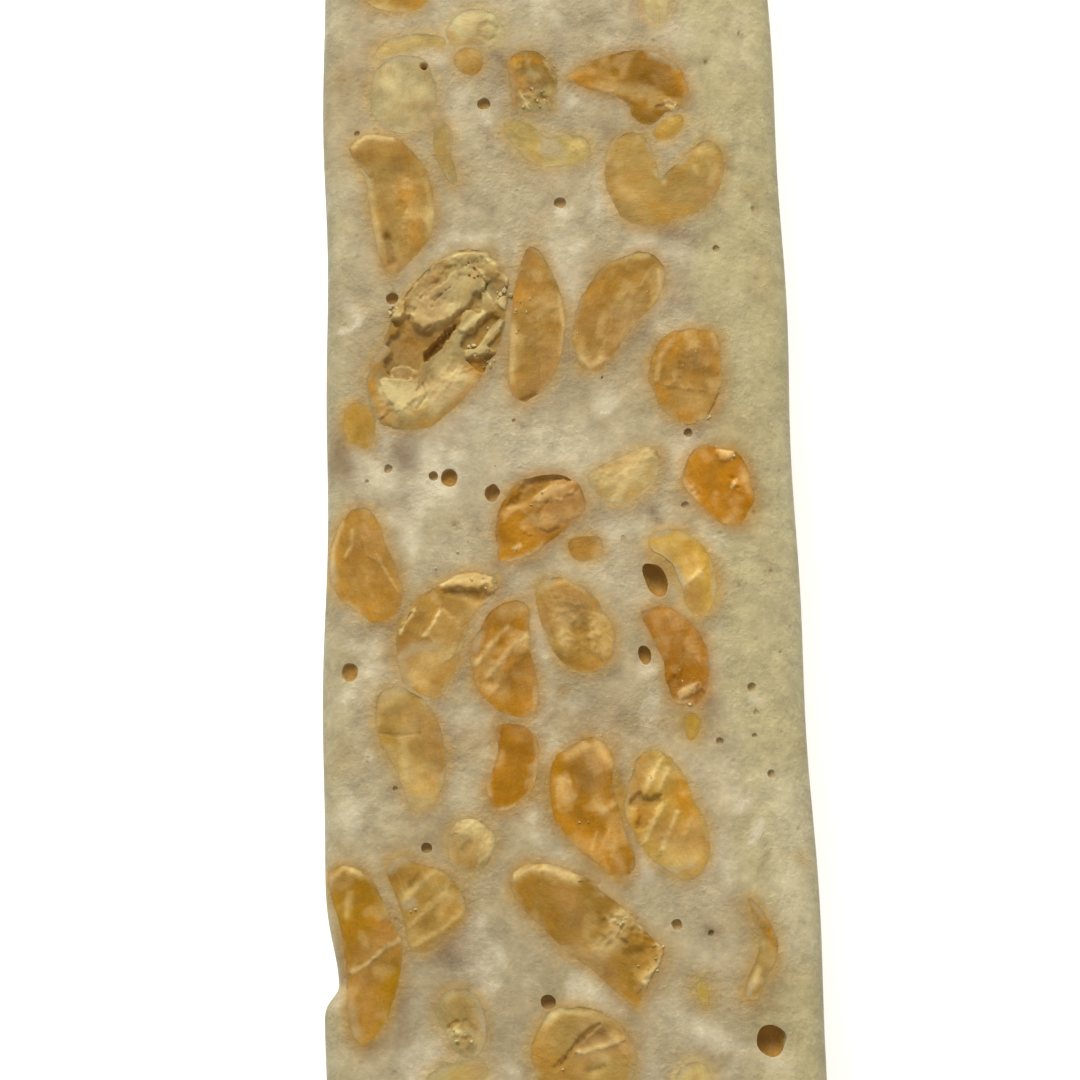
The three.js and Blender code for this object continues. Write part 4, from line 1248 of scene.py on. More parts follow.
def inside(points, loop):
    """Which points lie inside the loop, by how often a line from each crosses it."""
    x, y = points[:, 0], points[:, 1]
    within = np.zeros(len(points), bool)
    for (x0, y0), (x1, y1) in zip(loop, np.roll(loop, -1, 0)):
        if y0 != y1:
            crossing = ((y0 > y) != (y1 > y)) & (x < (x1 - x0) * (y - y0) / (y1 - y0) + x0)
            within ^= crossing
    return within


def depth_within(points, loop):
    """Distance to the loop, positive inside it and negative outside."""
    far, place = line_distance(points, loop, closed=True)
    return np.where(inside(points, loop), far, -far), place


def clear_of(loop, others, gap):
    """The loop with every point moved out of the other loops, to stay a gap away from them."""
    for other in others:
        low, high = other.min(0) - gap, other.max(0) + gap
        close = np.all((loop > low) & (loop < high), axis=1)
        if not close.any():
            continue
        depth, place = depth_within(loop[close], other)
        push = depth > -gap
        away = np.where((depth > 0)[:, None], place - loop[close], loop[close] - place)
        away /= np.maximum(np.linalg.norm(away, axis=1, keepdims=True), 1e-9)
        moved = loop[close].copy()
        moved[push] = (place + away * gap)[push]
        loop = loop.copy()
        loop[close] = moved
    return loop


def filled(loop, step):
    """A loop and a staggered grid inside it, joined by triangles: points, triangles, the loop's places."""
    low, high = loop.min(0), loop.max(0)
    lines = []
    for k, level in enumerate(np.arange(low[1] + step / 2, high[1], step * 0.866)):
        across = np.arange(low[0] + step / 2 * (k % 2), high[0], step)
        lines.append(np.stack([across, np.full_like(across, level)], 1))
    grid = np.vstack(lines)
    grid = grid[depth_within(grid, loop)[0] > 0.55 * step]
    count = len(loop)
    points = [Vector(p) for p in np.vstack([loop, grid])]
    edges = [(k, (k + 1) % count) for k in range(count)]
    found, _, triangles, origin, _, _ = delaunay_2d_cdt(points, edges, [], 1, 1e-7)
    place = {old: new for new, olds in enumerate(origin) for old in olds}
    flat = np.array([tuple(p) for p in found])
    triangles = np.array([t for t in triangles if len(t) == 3])
    a, b, c = (flat[triangles[:, k]] for k in range(3))
    turned = (b - a)[:, 0] * (c - a)[:, 1] - (b - a)[:, 1] * (c - a)[:, 0] < 0
    triangles[turned] = triangles[turned][:, ::-1]
    return flat, triangles, [place[k] for k in range(count)]


# ---------------------------------------------------------------- small helpers for Blender


def linear(hex_colour):
    """An sRGB hex colour as linear red, green and blue."""
    parts = [int(hex_colour[k : k + 2], 16) / 255 for k in (1, 3, 5)]
    return tuple(c / 12.92 if c <= 0.04045 else ((c + 0.055) / 1.055) ** 2.4 for c in parts)


def only(obj):
    """Selects one object alone and makes it active."""
    bpy.ops.object.select_all(action="DESELECT")
    obj.select_set(True)
    bpy.context.view_layer.objects.active = obj


def new_piece(name, points, faces):
    """An object at the origin whose mesh has these points, in millimetres."""
    mesh = bpy.data.meshes.new(name)
    mesh.from_pydata((np.asarray(points) * MM).tolist(), [], [list(map(int, f)) for f in faces])
    mesh.validate()
    obj = bpy.data.objects.new(name, mesh)
    bpy.context.scene.collection.objects.link(obj)
    return obj


def face_out(obj):
    """Closes small gaps and turns every face outward."""
    only(obj)
    bpy.ops.object.mode_set(mode="EDIT")
    bpy.ops.mesh.select_all(action="SELECT")
    bpy.ops.mesh.fill_holes(sides=0)
    bpy.ops.mesh.select_all(action="SELECT")
    bpy.ops.mesh.normals_make_consistent(inside=False)
    bpy.ops.object.mode_set(mode="OBJECT")


def apply_modifier(obj, kind, **settings):
    only(obj)
    modifier = obj.modifiers.new(kind.title(), kind)
    for key, value in settings.items():
        setattr(modifier, key, value)
    bpy.ops.object.modifier_apply(modifier=modifier.name)


def smoothed(obj, degrees=55):
    only(obj)
    bpy.ops.object.shade_smooth_by_angle(angle=math.radians(degrees))


def set_numbers(obj, name, values):
    obj.data.attributes.new(name, "FLOAT", "POINT").data.foreach_set("value", np.asarray(values, np.float32))


def set_colours(obj, name, colours):
    full = np.concatenate([colours, np.ones((len(colours), 1))], 1).astype(np.float32)
    obj.data.attributes.new(name, "FLOAT_COLOR", "POINT").data.foreach_set("color", full.ravel())


def points_of(obj):
    """A piece's points in millimetres."""
    flat = np.zeros(len(obj.data.vertices) * 3, np.float32)
    obj.data.vertices.foreach_get("co", flat)
    return flat.reshape(-1, 3).astype(float) / MM


def set_grain(obj, places):
    """Stores where each vertex lies along and across the grain, in mm, as a UV map."""
    corner = np.zeros(len(obj.data.loops), int)
    obj.data.loops.foreach_get("vertex_index", corner)
    layer = obj.data.uv_layers.new(name="grain")
    layer.data.foreach_set("uv", places[corner].astype(np.float32).ravel())


def settle(obj, stands_for=()):
    """Ties a finished piece to the bar and hides the solids it stands for."""
    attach(obj, "root")
    if stands_for:
        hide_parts(*stands_for)


# ---------------------------------------------------------------- relief and colour that marks leave

BLANK_FIELDS = ("height", "light", "dark", "warm", "deep", "film")

# How many times its reach a mark is felt, the steps round a patch, and how far a patch's edge wanders.
MARK_SPAN = 3
PATCH_STEP = 0.25
PATCH_DRIFT = 1.6
# What each kind of mark does for its amount, and how much the local roughness changes that.
FLAKE = {"rough": 0.2, "light": 0.16, "edge_wide": 0.2, "edge": 0.5, "edge_rough": 0.9, "edge_light": 0.42}
SUNK = {"rough": 0.14, "deep": 0.12, "deeper": 0.42}
RIDGE = {"gentle": 2.6, "steep": 0.9, "high": 0.6, "rough": 0.6, "light": 0.7, "light_rough": 0.8}
# Hollows and cracks are painted darker as they sink: painted shade.
HOLLOW_SHADE = 1.2
CRACK = {"from": 0.55, "to": 1.15, "dark": 2.5, "darkest": 0.9}
ROUGH_LIGHT = 0.5
CAVE = {"from": 0.25, "to": 1.2, "high": 0.7, "rough": 0.25, "deep": 0.3, "deeper": 0.4}
# How far each field turns flesh towards its colour, and what pale flesh is mixed from.
FLESH_TURN = {"warm": 0.85, "dark": 0.75, "light": 0.85, "pit": 1.5, "cavity": 2.2}
CAVITY_FROM = 1.1
PALE_CREAM = 0.55
PALE_OWN = {"share": 0.45, "brighter": 1.7}


def points_from(words, middle=(0.0, 0.0)):
    """Points from words x y x y, in tenths of a millimetre from a middle."""
    return np.reshape([float(word) for word in words], (-1, 2)) / 10 + np.array(middle)


def marks_from(words, middle=(0.0, 0.0)):
    """Marks from words: kind, reach, amount and points, or none for those of the next mark."""
    marks = []
    for word in words:
        if word.isalpha():
            marks.append([word])
        else:
            marks[-1].append(word)
    line, placed = None, []
    for kind, reach, amount, *points in reversed(marks):
        line = points_from(points, middle) if points else line
        placed.append((kind, float(reach), float(amount), line))
    return placed[::-1]


def described(text):
    """What a table says of each nut or chip by name: flesh colour, film, edge and marks."""
    found = {}
    for block in text.strip().split("\n\n"):
        name, flesh, film, x, y, _edge, *words = block.split()
        middle = (float(x), float(y))
        first_mark = next((k for k, word in enumerate(words) if word.isalpha()), len(words))
        edge = points_from(words[:first_mark], middle)
        found[name] = (flesh, float(film), edge, marks_from(words[first_mark:], middle))
    return found


def marked(points, marks, seed, wander=0.05):
    """What a list of marks (kind, reach, amount, points) does at each place, with sizes in mm."""
    x, y = points[:, 0], points[:, 1]
    field = {name: np.zeros(len(points)) for name in BLANK_FIELDS}
    drift = wander * grains(x, y, DRIFT_LAYERS, seed)
    rough = grains(x, y, ROUGH_LAYERS, seed)
    ragged = grains(x, y, RAGGED_LAYERS, seed)
    for kind, reach, amount, line in marks:
        span = MARK_SPAN * reach
        box = (x > line[:, 0].min() - span) & (x < line[:, 0].max() + span)
        box &= (y > line[:, 1].min() - span) & (y < line[:, 1].max() + span)
        if not box.any():
            continue
        if kind in ("flake", "sunk"):
            within, _ = depth_within(points[box], soft_loop(line, PATCH_STEP))
            within = within + PATCH_DRIFT * drift[box] + ragged[box]
            share = smooth_step(within, -0.5 * reach, 0.5 * reach)
            if kind == "flake":
                field["height"][box] += amount * share * (1 + FLAKE["rough"] * rough[box])
                crisp = np.maximum(0, FLAKE["edge"] + FLAKE["edge_rough"] * rough[box])
                edge = share * np.exp(-((within / FLAKE["edge_wide"]) ** 2)) * crisp
                field["light"][box] += FLAKE["light"] * share + FLAKE["edge_light"] * edge
                field["deep"][box] *= 1 - share
            else:
                field["height"][box] -= amount * share * (1 + SUNK["rough"] * rough[box])
                deep = min(1.0, SUNK["deep"] + SUNK["deeper"] * amount)
                field["deep"][box] += (1 - field["deep"][box]) * deep * share
            continue
        far, place = line_distance(points[box], line)
        far = np.maximum(0.0, far + drift[box])
        soft = np.exp(-((far / reach) ** 2))
        hard = 1.0 - smooth_step(far, CRACK["from"] * reach, CRACK["to"] * reach)
        if kind in ("pale", "dark", "warm", "film"):
            key = "light" if kind == "pale" else kind
            field[key][box] += amount * soft
        elif kind == "ridge":
            run, off = line[-1] - line[0], points[box] - place
            gentle = run[0] * off[:, 1] - run[1] * off[:, 0] > 0
            spread = np.where(gentle, RIDGE["gentle"] * reach, RIDGE["steep"] * reach)
            soft = np.exp(-((far / spread) ** 2))
            field["height"][box] += RIDGE["high"] * amount * soft * (1 + RIDGE["rough"] * rough[box])
            field["light"][box] += RIDGE["light"] * amount * soft * (1 + RIDGE["light_rough"] * rough[box])
        elif kind == "hollow":
            field["height"][box] -= amount * soft
            # painted shade in the hollow
            field["dark"][box] += HOLLOW_SHADE * amount * soft
        elif kind == "crack":
            field["height"][box] -= amount * hard
            # painted shade in the crack
            field["dark"][box] += np.minimum(CRACK["darkest"], CRACK["dark"] * amount) * hard
        elif kind == "rough":
            field["height"][box] += amount * soft * rough[box]
            field["light"][box] += ROUGH_LIGHT * amount * soft * rough[box]
        elif kind in ("cave", "bubble"):
            wall = 1.0 - smooth_step(far, CAVE["from"] * reach, CAVE["to"] * reach)
            uneven = 1 + CAVE["rough"] * rough[box] * (kind == "cave")
            field["height"][box] -= CAVE["high"] * amount * wall * uneven
            deep = min(1.0, CAVE["deep"] + CAVE["deeper"] * amount)
            field["deep"][box] += (1 - field["deep"][box]) * deep * wall
    return field


def blended(base, colour, share):
    """Colours turned towards another by a share at each point."""
    share = np.clip(share, 0.0, 1.0)[:, None]
    return base * (1 - share) + np.array(linear(colour)) * share


def flesh_colour(tone, field, count):
    """A kernel's colour at each point, from its own tone and what its marks do."""
    colour = np.tile(np.array(linear(tone)), (count, 1))
    colour = blended(colour, FLESH["amber"], field["warm"] * FLESH_TURN["warm"])
    colour = blended(colour, FLESH["brown"], field["dark"] * FLESH_TURN["dark"])
    own = np.minimum(1.0, PALE_OWN["brighter"] * np.array(linear(tone)))
    pale = PALE_CREAM * np.array(linear(FLESH["cream"])) + PALE_OWN["share"] * own
    share = np.clip(field["light"] * FLESH_TURN["light"], 0.0, 1.0)[:, None]
    colour = colour * (1 - share) + pale * share
    # The deeper in a sunk place, cave or bubble, the browner and darker: partly the flesh's own brown, partly
    # painted shade.
    colour = blended(colour, FLESH["pit"], FLESH_TURN["pit"] * field["deep"])
    return blended(colour, FLESH["cavity"], FLESH_TURN["cavity"] * field["deep"] - CAVITY_FROM)


# ---------------------------------------------------------------- kernels

# How a cut nut's rim and middle lie to the face: the rise inwards, over how far, what it starts from, and the
# strip along the rim that is brought level with the nougat.
MIDDLE_RISE = {"high": 0.04, "over": 0.9, "start": 0.015}
LEVEL_RIM = (-0.05, 0.22)
# Rings of the bowl under a cut face: share of the rim's width, share of the depth.
BOWL = ((0.985, 0.12), (0.95, 0.34), (0.84, 0.62), (0.6, 0.86), (0.3, 0.97))


def node_loop(name, face):
    """Where the bar's face cuts a solid nut: the edge of its outward faces, as a softened loop."""
    out, read = FACES[face]
    copy = NODES[name].data.copy()
    grid = bmesh.new()
    grid.from_mesh(copy)
    bmesh.ops.remove_doubles(grid, verts=grid.verts, dist=1e-6)
    grid.normal_update()
    cut = {f for f in grid.faces if f.normal.dot(Vector(out)) > 0.35}
    rim = [e for e in grid.edges if sum(f in cut for f in e.link_faces) == 1]
    following = {}
    for edge in rim:
        for vert in edge.verts:
            following.setdefault(vert, []).append(edge)
    loops, left = [], dict.fromkeys(rim)
    while left:
        edge = next(iter(left))
        del left[edge]
        vert, loop = edge.verts[1], [edge.verts[0], edge.verts[1]]
        while True:
            step = next((e for e in following[vert] if e in left), None)
            if step is None:
                break
            del left[step]
            vert = step.other_vert(vert)
            loop.append(vert)
        loops.append(loop[:-1] if loop[0] is loop[-1] else loop)
    longest = max(loops, key=len)
    u, v = read(np.array([tuple(p.co) for p in longest]) / MM)
    grid.free()
    bpy.data.meshes.remove(copy)
    return np.stack([u, v], 1)


def natural_loop(loop, step, seed, stray):
    """The loop run anticlockwise as an even curve, with the small strays of a cut nut's edge."""
    if signed_area(loop) < 0:
        loop = loop[::-1]
    loop = soft_loop(loop, step)
    x, y = loop[:, 0], loop[:, 1]
    shift = grains(x, y, RIM_LAYERS, seed)
    return loop + loop_normals(loop) * stray * shift[:, None]


def kept_on_face(loop, face):
    """The loop held inside the face it lies on, clear of the face's edges."""
    u, v = loop[:, 0].copy(), loop[:, 1].copy()
    if face == "top":
        u = np.clip(u, left_edge(v) + TOP_MARGIN["left"], right_edge(v) - TOP_MARGIN["right"])
        v = np.clip(v, TOP_MARGIN["end"] - HALF_LONG, HALF_LONG - TOP_MARGIN["end"])
    return np.stack([u, v], 1)


def nut_depth(loop):
    """How deep a nut goes: nearly as deep as it is narrow."""
    spread = loop - loop.mean(0)
    narrow = 4 * math.sqrt(max(1e-6, float(np.linalg.eigvalsh(np.cov(spread.T))[0])) / 2)
    return min(DEEPEST, 0.95 * narrow)


def long_axis(loop):
    """The direction in which a loop is longest."""
    values, vectors = np.linalg.eigh(np.cov((loop - loop.mean(0)).T))
    return vectors[:, int(np.argmax(values))]


def bowl_rings(face, loop, deep, grow=0.0):
    """Rings below the cut face that close a nut, or its pocket, towards a point."""
    centre = loop.mean(0)
    rings = []
    for share, down in BOWL:
        ring = centre + (loop - centre) * share
        rings.append(on_face(face, ring[:, 0], ring[:, 1], -down * deep - grow))
    point = on_face(face, centre[:1], centre[1:], -deep - grow)
    return rings, point


def ring_faces(first, second, count):
    """The faces between two rings of vertices."""
    return [(first[k], second[k], second[(k + 1) % count], first[(k + 1) % count]) for k in range(count)]


def cut_height(flat, field, from_rim, seed):
    """How far a nut's cut face stands over the bar's: its marks and a fine unevenness, level at the rim."""
    x, y = flat.T
    rise = MIDDLE_RISE["high"] * smooth_step(from_rim, 0.0, MIDDLE_RISE["over"])
    height = field["height"] + grains(x, y, CUT_LAYERS, seed) + rise - MIDDLE_RISE["start"]
    over = np.tanh((height / TALLEST - HELD_FROM) / (1 - HELD_FROM))
    held = TALLEST * (HELD_FROM + (1 - HELD_FROM) * over)
    height = np.where(height > HELD_FROM * TALLEST, held, height)
    return height * smooth_step(from_rim, *LEVEL_RIM)


def roasted(field, flat, from_rim, film, seed):
    """Adds what every cut nut shows: nougat smeared over its rim, a warm edge painted as the glow of light
    through thin flesh, and uneven roasting.
    """
    x, y = flat.T
    fade = 0.36 + 0.6 * film
    near_rim = 1 - smooth_step(from_rim + grains(x, y, SMEAR_LAYERS, seed), -fade, fade)
    field["film"] += (0.28 + 0.6 * film) * near_rim
    field["film"] += 0.3 * film * patches(x, y, 1.6, seed + 9, 0.35, 0.9)
    # Painted glow: light shining through the thin flesh near the rim.
    glow = np.exp(-((from_rim / 0.8) ** 2)) * patches(x, y, 3.2, seed + 14, -0.5, 0.7)
    lively = 1 - 0.8 * film
    field["warm"] += lively * (0.4 * glow + 0.4 * patches(x, y, 2.6, seed + 15, 0.0, 0.8))
    blotch = grains(x, y, BLOTCH_LAYERS, seed)
    field["light"] += 0.34 * smooth_step(blotch, 0.1, 0.9)
    field["dark"] += 0.2 * lively * smooth_step(-blotch, 0.1, 0.9)
    field["warm"] += 0.34 * lively * smooth_step(-blotch, 0.1, 0.9)


def cut_colour(flat, field, tone, seed):
    """The colour of a nut's cut face at each point."""
    x, y = flat.T
    paler = 0.4 * patches(x, y, 2.8, seed + 17, 0.0, 0.8) * (1 - field["deep"])
    shine = 1 + grains(x, y, SHINE_LAYERS, seed)
    return blended(flesh_colour(tone, field, len(flat)), FLESH["tan"], paler) * shine[:, None]


def kernel(name, face, loop, marks, tone, film, step, seed, deep=None):
    """A nut in its place: a finely modelled cut face over a plain bowl."""
    deep = deep or nut_depth(loop)
    flat, triangles, rim = filled(loop, step)
    field = marked(flat, marks, seed)
    from_rim = np.maximum(0.0, depth_within(flat, loop)[0])
    height = cut_height(flat, field, from_rim, seed)
    if face == "base":
        height = np.minimum(height, 0.0) - 0.02
    surface = on_face(face, flat[:, 0], flat[:, 1], height)
    rings, point = bowl_rings(face, loop, deep)
    count = len(loop)
    points = np.vstack([surface, *rings, point])
    faces = [tuple(t) for t in triangles]
    above = list(rim)
    for k in range(len(rings)):
        below = [len(surface) + k * count + step_on for step_on in range(count)]
        faces += ring_faces(above, below, count)
        above = below
    tip = len(points) - 1
    faces += [(above[k], tip, above[(k + 1) % count]) for k in range(count)]
    obj = new_piece(name, points, faces)
    face_out(obj)

    roasted(field, flat, from_rim, film, seed)
    below = len(points) - len(flat)
    skin = np.tile(np.array(linear(tone)) * 0.8, (below, 1))
    set_colours(obj, "flesh", np.vstack([cut_colour(flat, field, tone, seed), skin]))
    set_numbers(obj, "film", np.concatenate([np.clip(field["film"], 0, 1), np.zeros(below)]))

    axis, middle = long_axis(loop), loop.mean(0)
    places = np.vstack([flat, np.tile(loop, (len(rings), 1)), middle[None]]) - middle
    set_grain(obj, places @ np.array([[axis[0], -axis[1]], [axis[1], axis[0]]]))
    smoothed(obj)
    return obj


def pocket(face, loop, deep, lid):
    """Points and faces of the hollow that a nut sits in, open through the bar's face."""
    inner = loop - loop_normals(loop) * DRAWN_IN
    centre = inner.mean(0)
    count = len(inner)
    top = on_face(face, inner[:, 0], inner[:, 1], lid)
    rings, point = bowl_rings(face, inner[::2], deep, BELOW_NUT)
    cap = on_face(face, centre[:1], centre[1:], lid)
    points = np.vstack([cap, top, *rings, point])
    faces = [(0, 1 + k, 1 + (k + 1) % count) for k in range(count)]
    half, low = (count + 1) // 2, 1 + count
    for k in range(0, count, 2):
        here, beyond = low + k // 2, low + (k // 2 + 1) % half
        if k == count - 1:
            faces.append((1 + k, here, beyond, 1))
            continue
        faces.append((1 + k, here, 2 + k))
        faces.append((2 + k, here, beyond))
        faces.append((2 + k, beyond, 1 + (k + 2) % count))
    for _ in range(len(rings) - 1):
        first = [low + k for k in range(half)]
        faces += ring_faces(first, [k + half for k in first], half)
        low += half
    faces += [(low + k, len(points) - 1, low + (k + 1) % half) for k in range(half)]
    return points, faces


# ---------------------------------------------------------------- where every nut and chip lies


def plain_marks(loop, seed):
    """Marks for a nut with no story of its own: a crease, a few folds, a shade and a warm end."""
    draw = np.random.default_rng(seed)
    centre, axis = loop.mean(0), long_axis(loop)
    across = np.array([-axis[1], axis[0]])
    reach = np.ptp((loop - centre) @ axis) / 2
    half = np.ptp((loop - centre) @ across) / 2
    marks = []
    for kind, wide, amount in (
        ("ridge", 0.16, 0.09), ("pale", 0.4, 0.5), ("hollow", 0.5, 0.18), ("dark", 0.7, 0.4),
        ("warm", 0.8, 0.5), ("ridge", 0.7, 0.12), ("crack", 0.13, 0.2), ("pale", 0.9, 0.4),
    ):
        start = centre + axis * draw.uniform(-0.7, 0.5) * reach + across * draw.uniform(-0.5, 0.5) * half
        bend = draw.uniform(-0.6, 0.6)
        line = [start]
        for _ in range(3):
            bend += draw.uniform(-0.3, 0.3)
            line.append(line[-1] + (axis * math.cos(bend) + across * math.sin(bend)) * 0.16 * reach)
        marks.append((kind, wide, amount * draw.uniform(0.6, 1.2), np.array(line)))
    return marks


def loose_oval(draw, across, along, points=9):
    """An uneven oval as small as a chip, somewhere in a stretch of a face."""
    centre = np.array([draw.uniform(*across), draw.uniform(*along)])
    long, slim, turn = draw.uniform(*LOOSE_HALF_LONG), draw.uniform(*LOOSE_SLIM), draw.uniform(0, math.pi)
    angle = np.linspace(0, 2 * math.pi, points, endpoint=False)
    oval = np.stack([long * np.cos(angle), long * slim * np.sin(angle)], 1)
    oval *= 1 + draw.uniform(-0.15, 0.15, (points, 1))
    return centre + oval @ np.array([[math.cos(turn), math.sin(turn)], [-math.sin(turn), math.cos(turn)]])


def lay_out():
    """Every nut and chip as (name, face, loop, marks, tone, film, step, seed), none crossing another."""
    placed = {face: [] for face in FACES}
    nuts, chips = [], []
    seed = FIRST_SEED

    def put(loop, face, sort):
        loop = natural_loop(loop, sort["rim"], seed, sort["stray"])
        loop = kept_on_face(clear_of(loop, placed[face], sort["gap"]), face)
        placed[face].append(loop)
        return loop

    kernels = described(KERNELS)
    for name, (flesh, film, edge, marks) in kernels.items():
        seed += SEED_STEP
        loop = put(edge, "top", CUT_NUT)
        nuts.append((name, "top", loop, marks, flesh, film, CUT_NUT["face"], seed))
    for name in sorted(NODES):
        if name == "nougat" or name in kernels:
            continue
        face = next((f for key, f in PLAIN_FACES.items() if name.startswith(key)), "top")
        seed += SEED_STEP
        loop = put(node_loop(name, face), face, PLAIN_NUT)
        tone = FLESH[PLAIN_FLESH[SLOT_OF[name]]]
        nuts.append((name, face, loop, plain_marks(loop, seed), tone, 0.5, PLAIN_NUT["face"], seed))
    for name, (flesh, film, edge, marks) in described(CHIPS).items():
        seed += SEED_STEP
        loop = put(edge, "top", CUT_CHIP)
        chips.append((name, "top", loop, marks, flesh, film, CUT_CHIP["face"], seed))
    draw = np.random.default_rng(CHIP_SEED)
    for face, across, along, wanted in LOOSE_CHIPS:
        made = 0
        while made < wanted:
            loop = loose_oval(draw, across, along)
            if any(depth_within(loop, other)[0].max() > -LOOSE_CHIP["gap"] for other in placed[face]):
                continue
            made += 1
            seed += SEED_STEP
            loop = natural_loop(loop, LOOSE_CHIP["rim"], seed, LOOSE_CHIP["stray"])
            placed[face].append(loop)
            tone = FLESH[LOOSE_TONES[made % len(LOOSE_TONES)]]
            chips.append((f"loose_{face}_{made}", face, loop, [], tone, 0.8, LOOSE_CHIP["face"], seed))
    return nuts, chips


# ---------------------------------------------------------------- the nougat itself


def block_marks():
    """The nougat's marks, with a shallow dish round every open bubble."""
    dishes = [("hollow", 0.75 * max(b[2], b[3]), 0.05 + 0.03 * b[2], np.array([b[:2]])) for b in BUBBLES]
    return marks_from(BLOCK_MARKS.split()) + dishes


def turn_rows(side, wide, high, kind, steps, outward):
    """A quarter turn of the bar's outline, run outward or inward, at its right (1) or left (0) side."""
    rows = []
    for k in range(steps):
        angle = math.pi / 2 * k / steps if outward else math.pi / 2 * (1 - k / steps)
        rows.append((side, (1 - math.cos(angle)) * wide, (1 - math.sin(angle)) * high, kind))
    return rows


def wall_rows(side, top, kind, rising):
    """A side wall of the bar's outline, from its base rounding to its shoulder or back."""
    count = int((top - BASE_ROUND) / WALL_STEP)
    step = (top - BASE_ROUND) / count
    heights = [BASE_ROUND + step * k if rising else top - step * k for k in range(count)]
    return [(side, 0.0, height, kind) for height in heights]


def section_points():
    """The bar's outline across its length: weight to the right edge, offset, height, and what it is."""
    left, right = LEFT_SHOULDER, RIGHT_SHOULDER
    rows = wall_rows(0, BAR_HIGH - left["high"], "left", True)
    rows += turn_rows(0, left["wide"], 0.0, "left_top", LEFT_TURN, True)
    count = int((2 * HALF_WIDE - left["wide"] - right["wide"]) / TOP_STEP)
    for k in range(count):
        share = k / count
        rows.append((share, left["wide"] * (1 - share) - right["wide"] * share, 0.0, "top"))
    rows += turn_rows(1, -right["wide"], 0.0, "right_top", RIGHT_TURN, False)
    rows += wall_rows(1, BAR_HIGH - right["high"], "right", False)
    rows += turn_rows(1, -BASE_ROUND, BASE_ROUND, "round", BASE_TURN, True)
    count = int((2 * HALF_WIDE - 2 * BASE_ROUND) / BASE_STEP)
    for k in range(count):
        share = k / count
        rows.append((1 - share, BASE_ROUND * (2 * share - 1), 0.0, "base"))
    return rows + turn_rows(0, BASE_ROUND, BASE_ROUND, "round", BASE_TURN, False)


def length_stations():
    """Places along the bar and how far the section is drawn in there, rounding both ends."""
    straight = HALF_LONG - END_BREAK
    count = int(2 * straight / LENGTH_STEP)
    middle = [(-straight + 2 * straight * k / count, 0.0) for k in range(count + 1)]
    turn = [math.pi / 2 * (k + 1) / END_TURN for k in range(END_TURN)]
    bend = [(straight + END_BREAK * math.sin(a), END_BREAK * (1 - math.cos(a))) for a in turn]
    return [(-y, inset) for y, inset in reversed(bend)] + middle + bend


def section_row(rows, y, inset, dents):
    """The bar's outline at one place along it."""
    weight, offset, z, kind = (np.array(column) for column in zip(*rows))
    ys = np.full(len(rows), y)
    left, right = left_edge(ys), right_edge(ys)
    x = left * (1 - weight) + right * weight + offset
    upper = np.isin(kind, ("left_top", "top", "right_top"))
    field = marked(np.stack([x, ys], 1), dents, BLOCK_SEED)
    lively = 1.0 if inset == 0 else 0.0
    z = np.where(upper, top_height(x, ys) + field["height"] * lively, z)
    bulge = wall_bulge(ys, z) * lively
    x = np.where(kind == "left", x - bulge, np.where(kind == "right", x + bulge, x))
    lumps = np.maximum(0, grain(x, ys, BASE_LUMPS["size"], BASE_LUMPS["seed"]))
    z = np.where(kind == "base", BASE_LUMPS["high"] * lumps * lively, z)
    x = x + np.where(x < 0, 1, -1) * inset * np.minimum(1.0, np.abs(x) / END_DRAWN_FROM)
    z = np.where(z > BAR_HIGH / 2, z - inset, z + inset * (1 - z / (BAR_HIGH / 2)))
    return np.stack([x, ys, z], 1)


def nougat_skin():
    """A grid wrapped round the bar, with filled ends."""
    rows, stations = section_points(), length_stations()
    across, along = len(rows), len(stations)
    bpy.ops.object.select_all(action="DESELECT")
    bpy.ops.mesh.primitive_grid_add(x_subdivisions=across, y_subdivisions=along - 1, size=2)
    skin = bpy.context.active_object
    skin.name = skin.data.name = "nougat_block"
    dents = [mark for mark in block_marks() if mark[0] not in ("pale", "dark", "warm", "film")]
    wrapped = np.stack([section_row(rows, y, inset, dents) for y, inset in stations])
    closed = np.concatenate([wrapped, wrapped[:, :1]], 1)
    skin.data.vertices.foreach_set("co", (closed.reshape(-1, 3) * MM).astype(np.float32).ravel())
    ends = []
    for face, row in (("near", wrapped[0]), ("far", wrapped[-1])):
        loop = np.stack([row[:, 0], row[:, 2]], 1)
        if signed_area(loop) < 0:
            loop = loop[::-1]
        flat, triangles, rim = filled(loop, END_STEP)
        y = np.full(len(flat), row[0, 1])
        inner = np.ones(len(flat), bool)
        inner[rim] = False
        sign = 1 if face == "far" else -1
        y[inner] += sign * end_bulge(flat[inner, 0], flat[inner, 1])
        ends.append(new_piece(face, np.stack([flat[:, 0], y, flat[:, 1]], 1), triangles))
    only(skin)
    for end in ends:
        end.select_set(True)
    bpy.ops.object.join()
    bpy.ops.object.mode_set(mode="EDIT")
    bpy.ops.mesh.select_all(action="SELECT")
    bpy.ops.mesh.remove_doubles(threshold=2e-6)
    bpy.ops.mesh.normals_make_consistent(inside=False)
    bpy.ops.object.mode_set(mode="OBJECT")
    return skin


def joined_cutter(name, pieces):
    """One object from many hollows, each given as points and faces."""
    points, faces = [], []
    for piece_points, piece_faces in pieces:
        start = sum(len(p) for p in points)
        points.append(piece_points)
        faces += [tuple(start + k for k in f) for f in piece_faces]
    cutter = new_piece(name, np.vstack(points), faces)
    face_out(cutter)
    return cutter


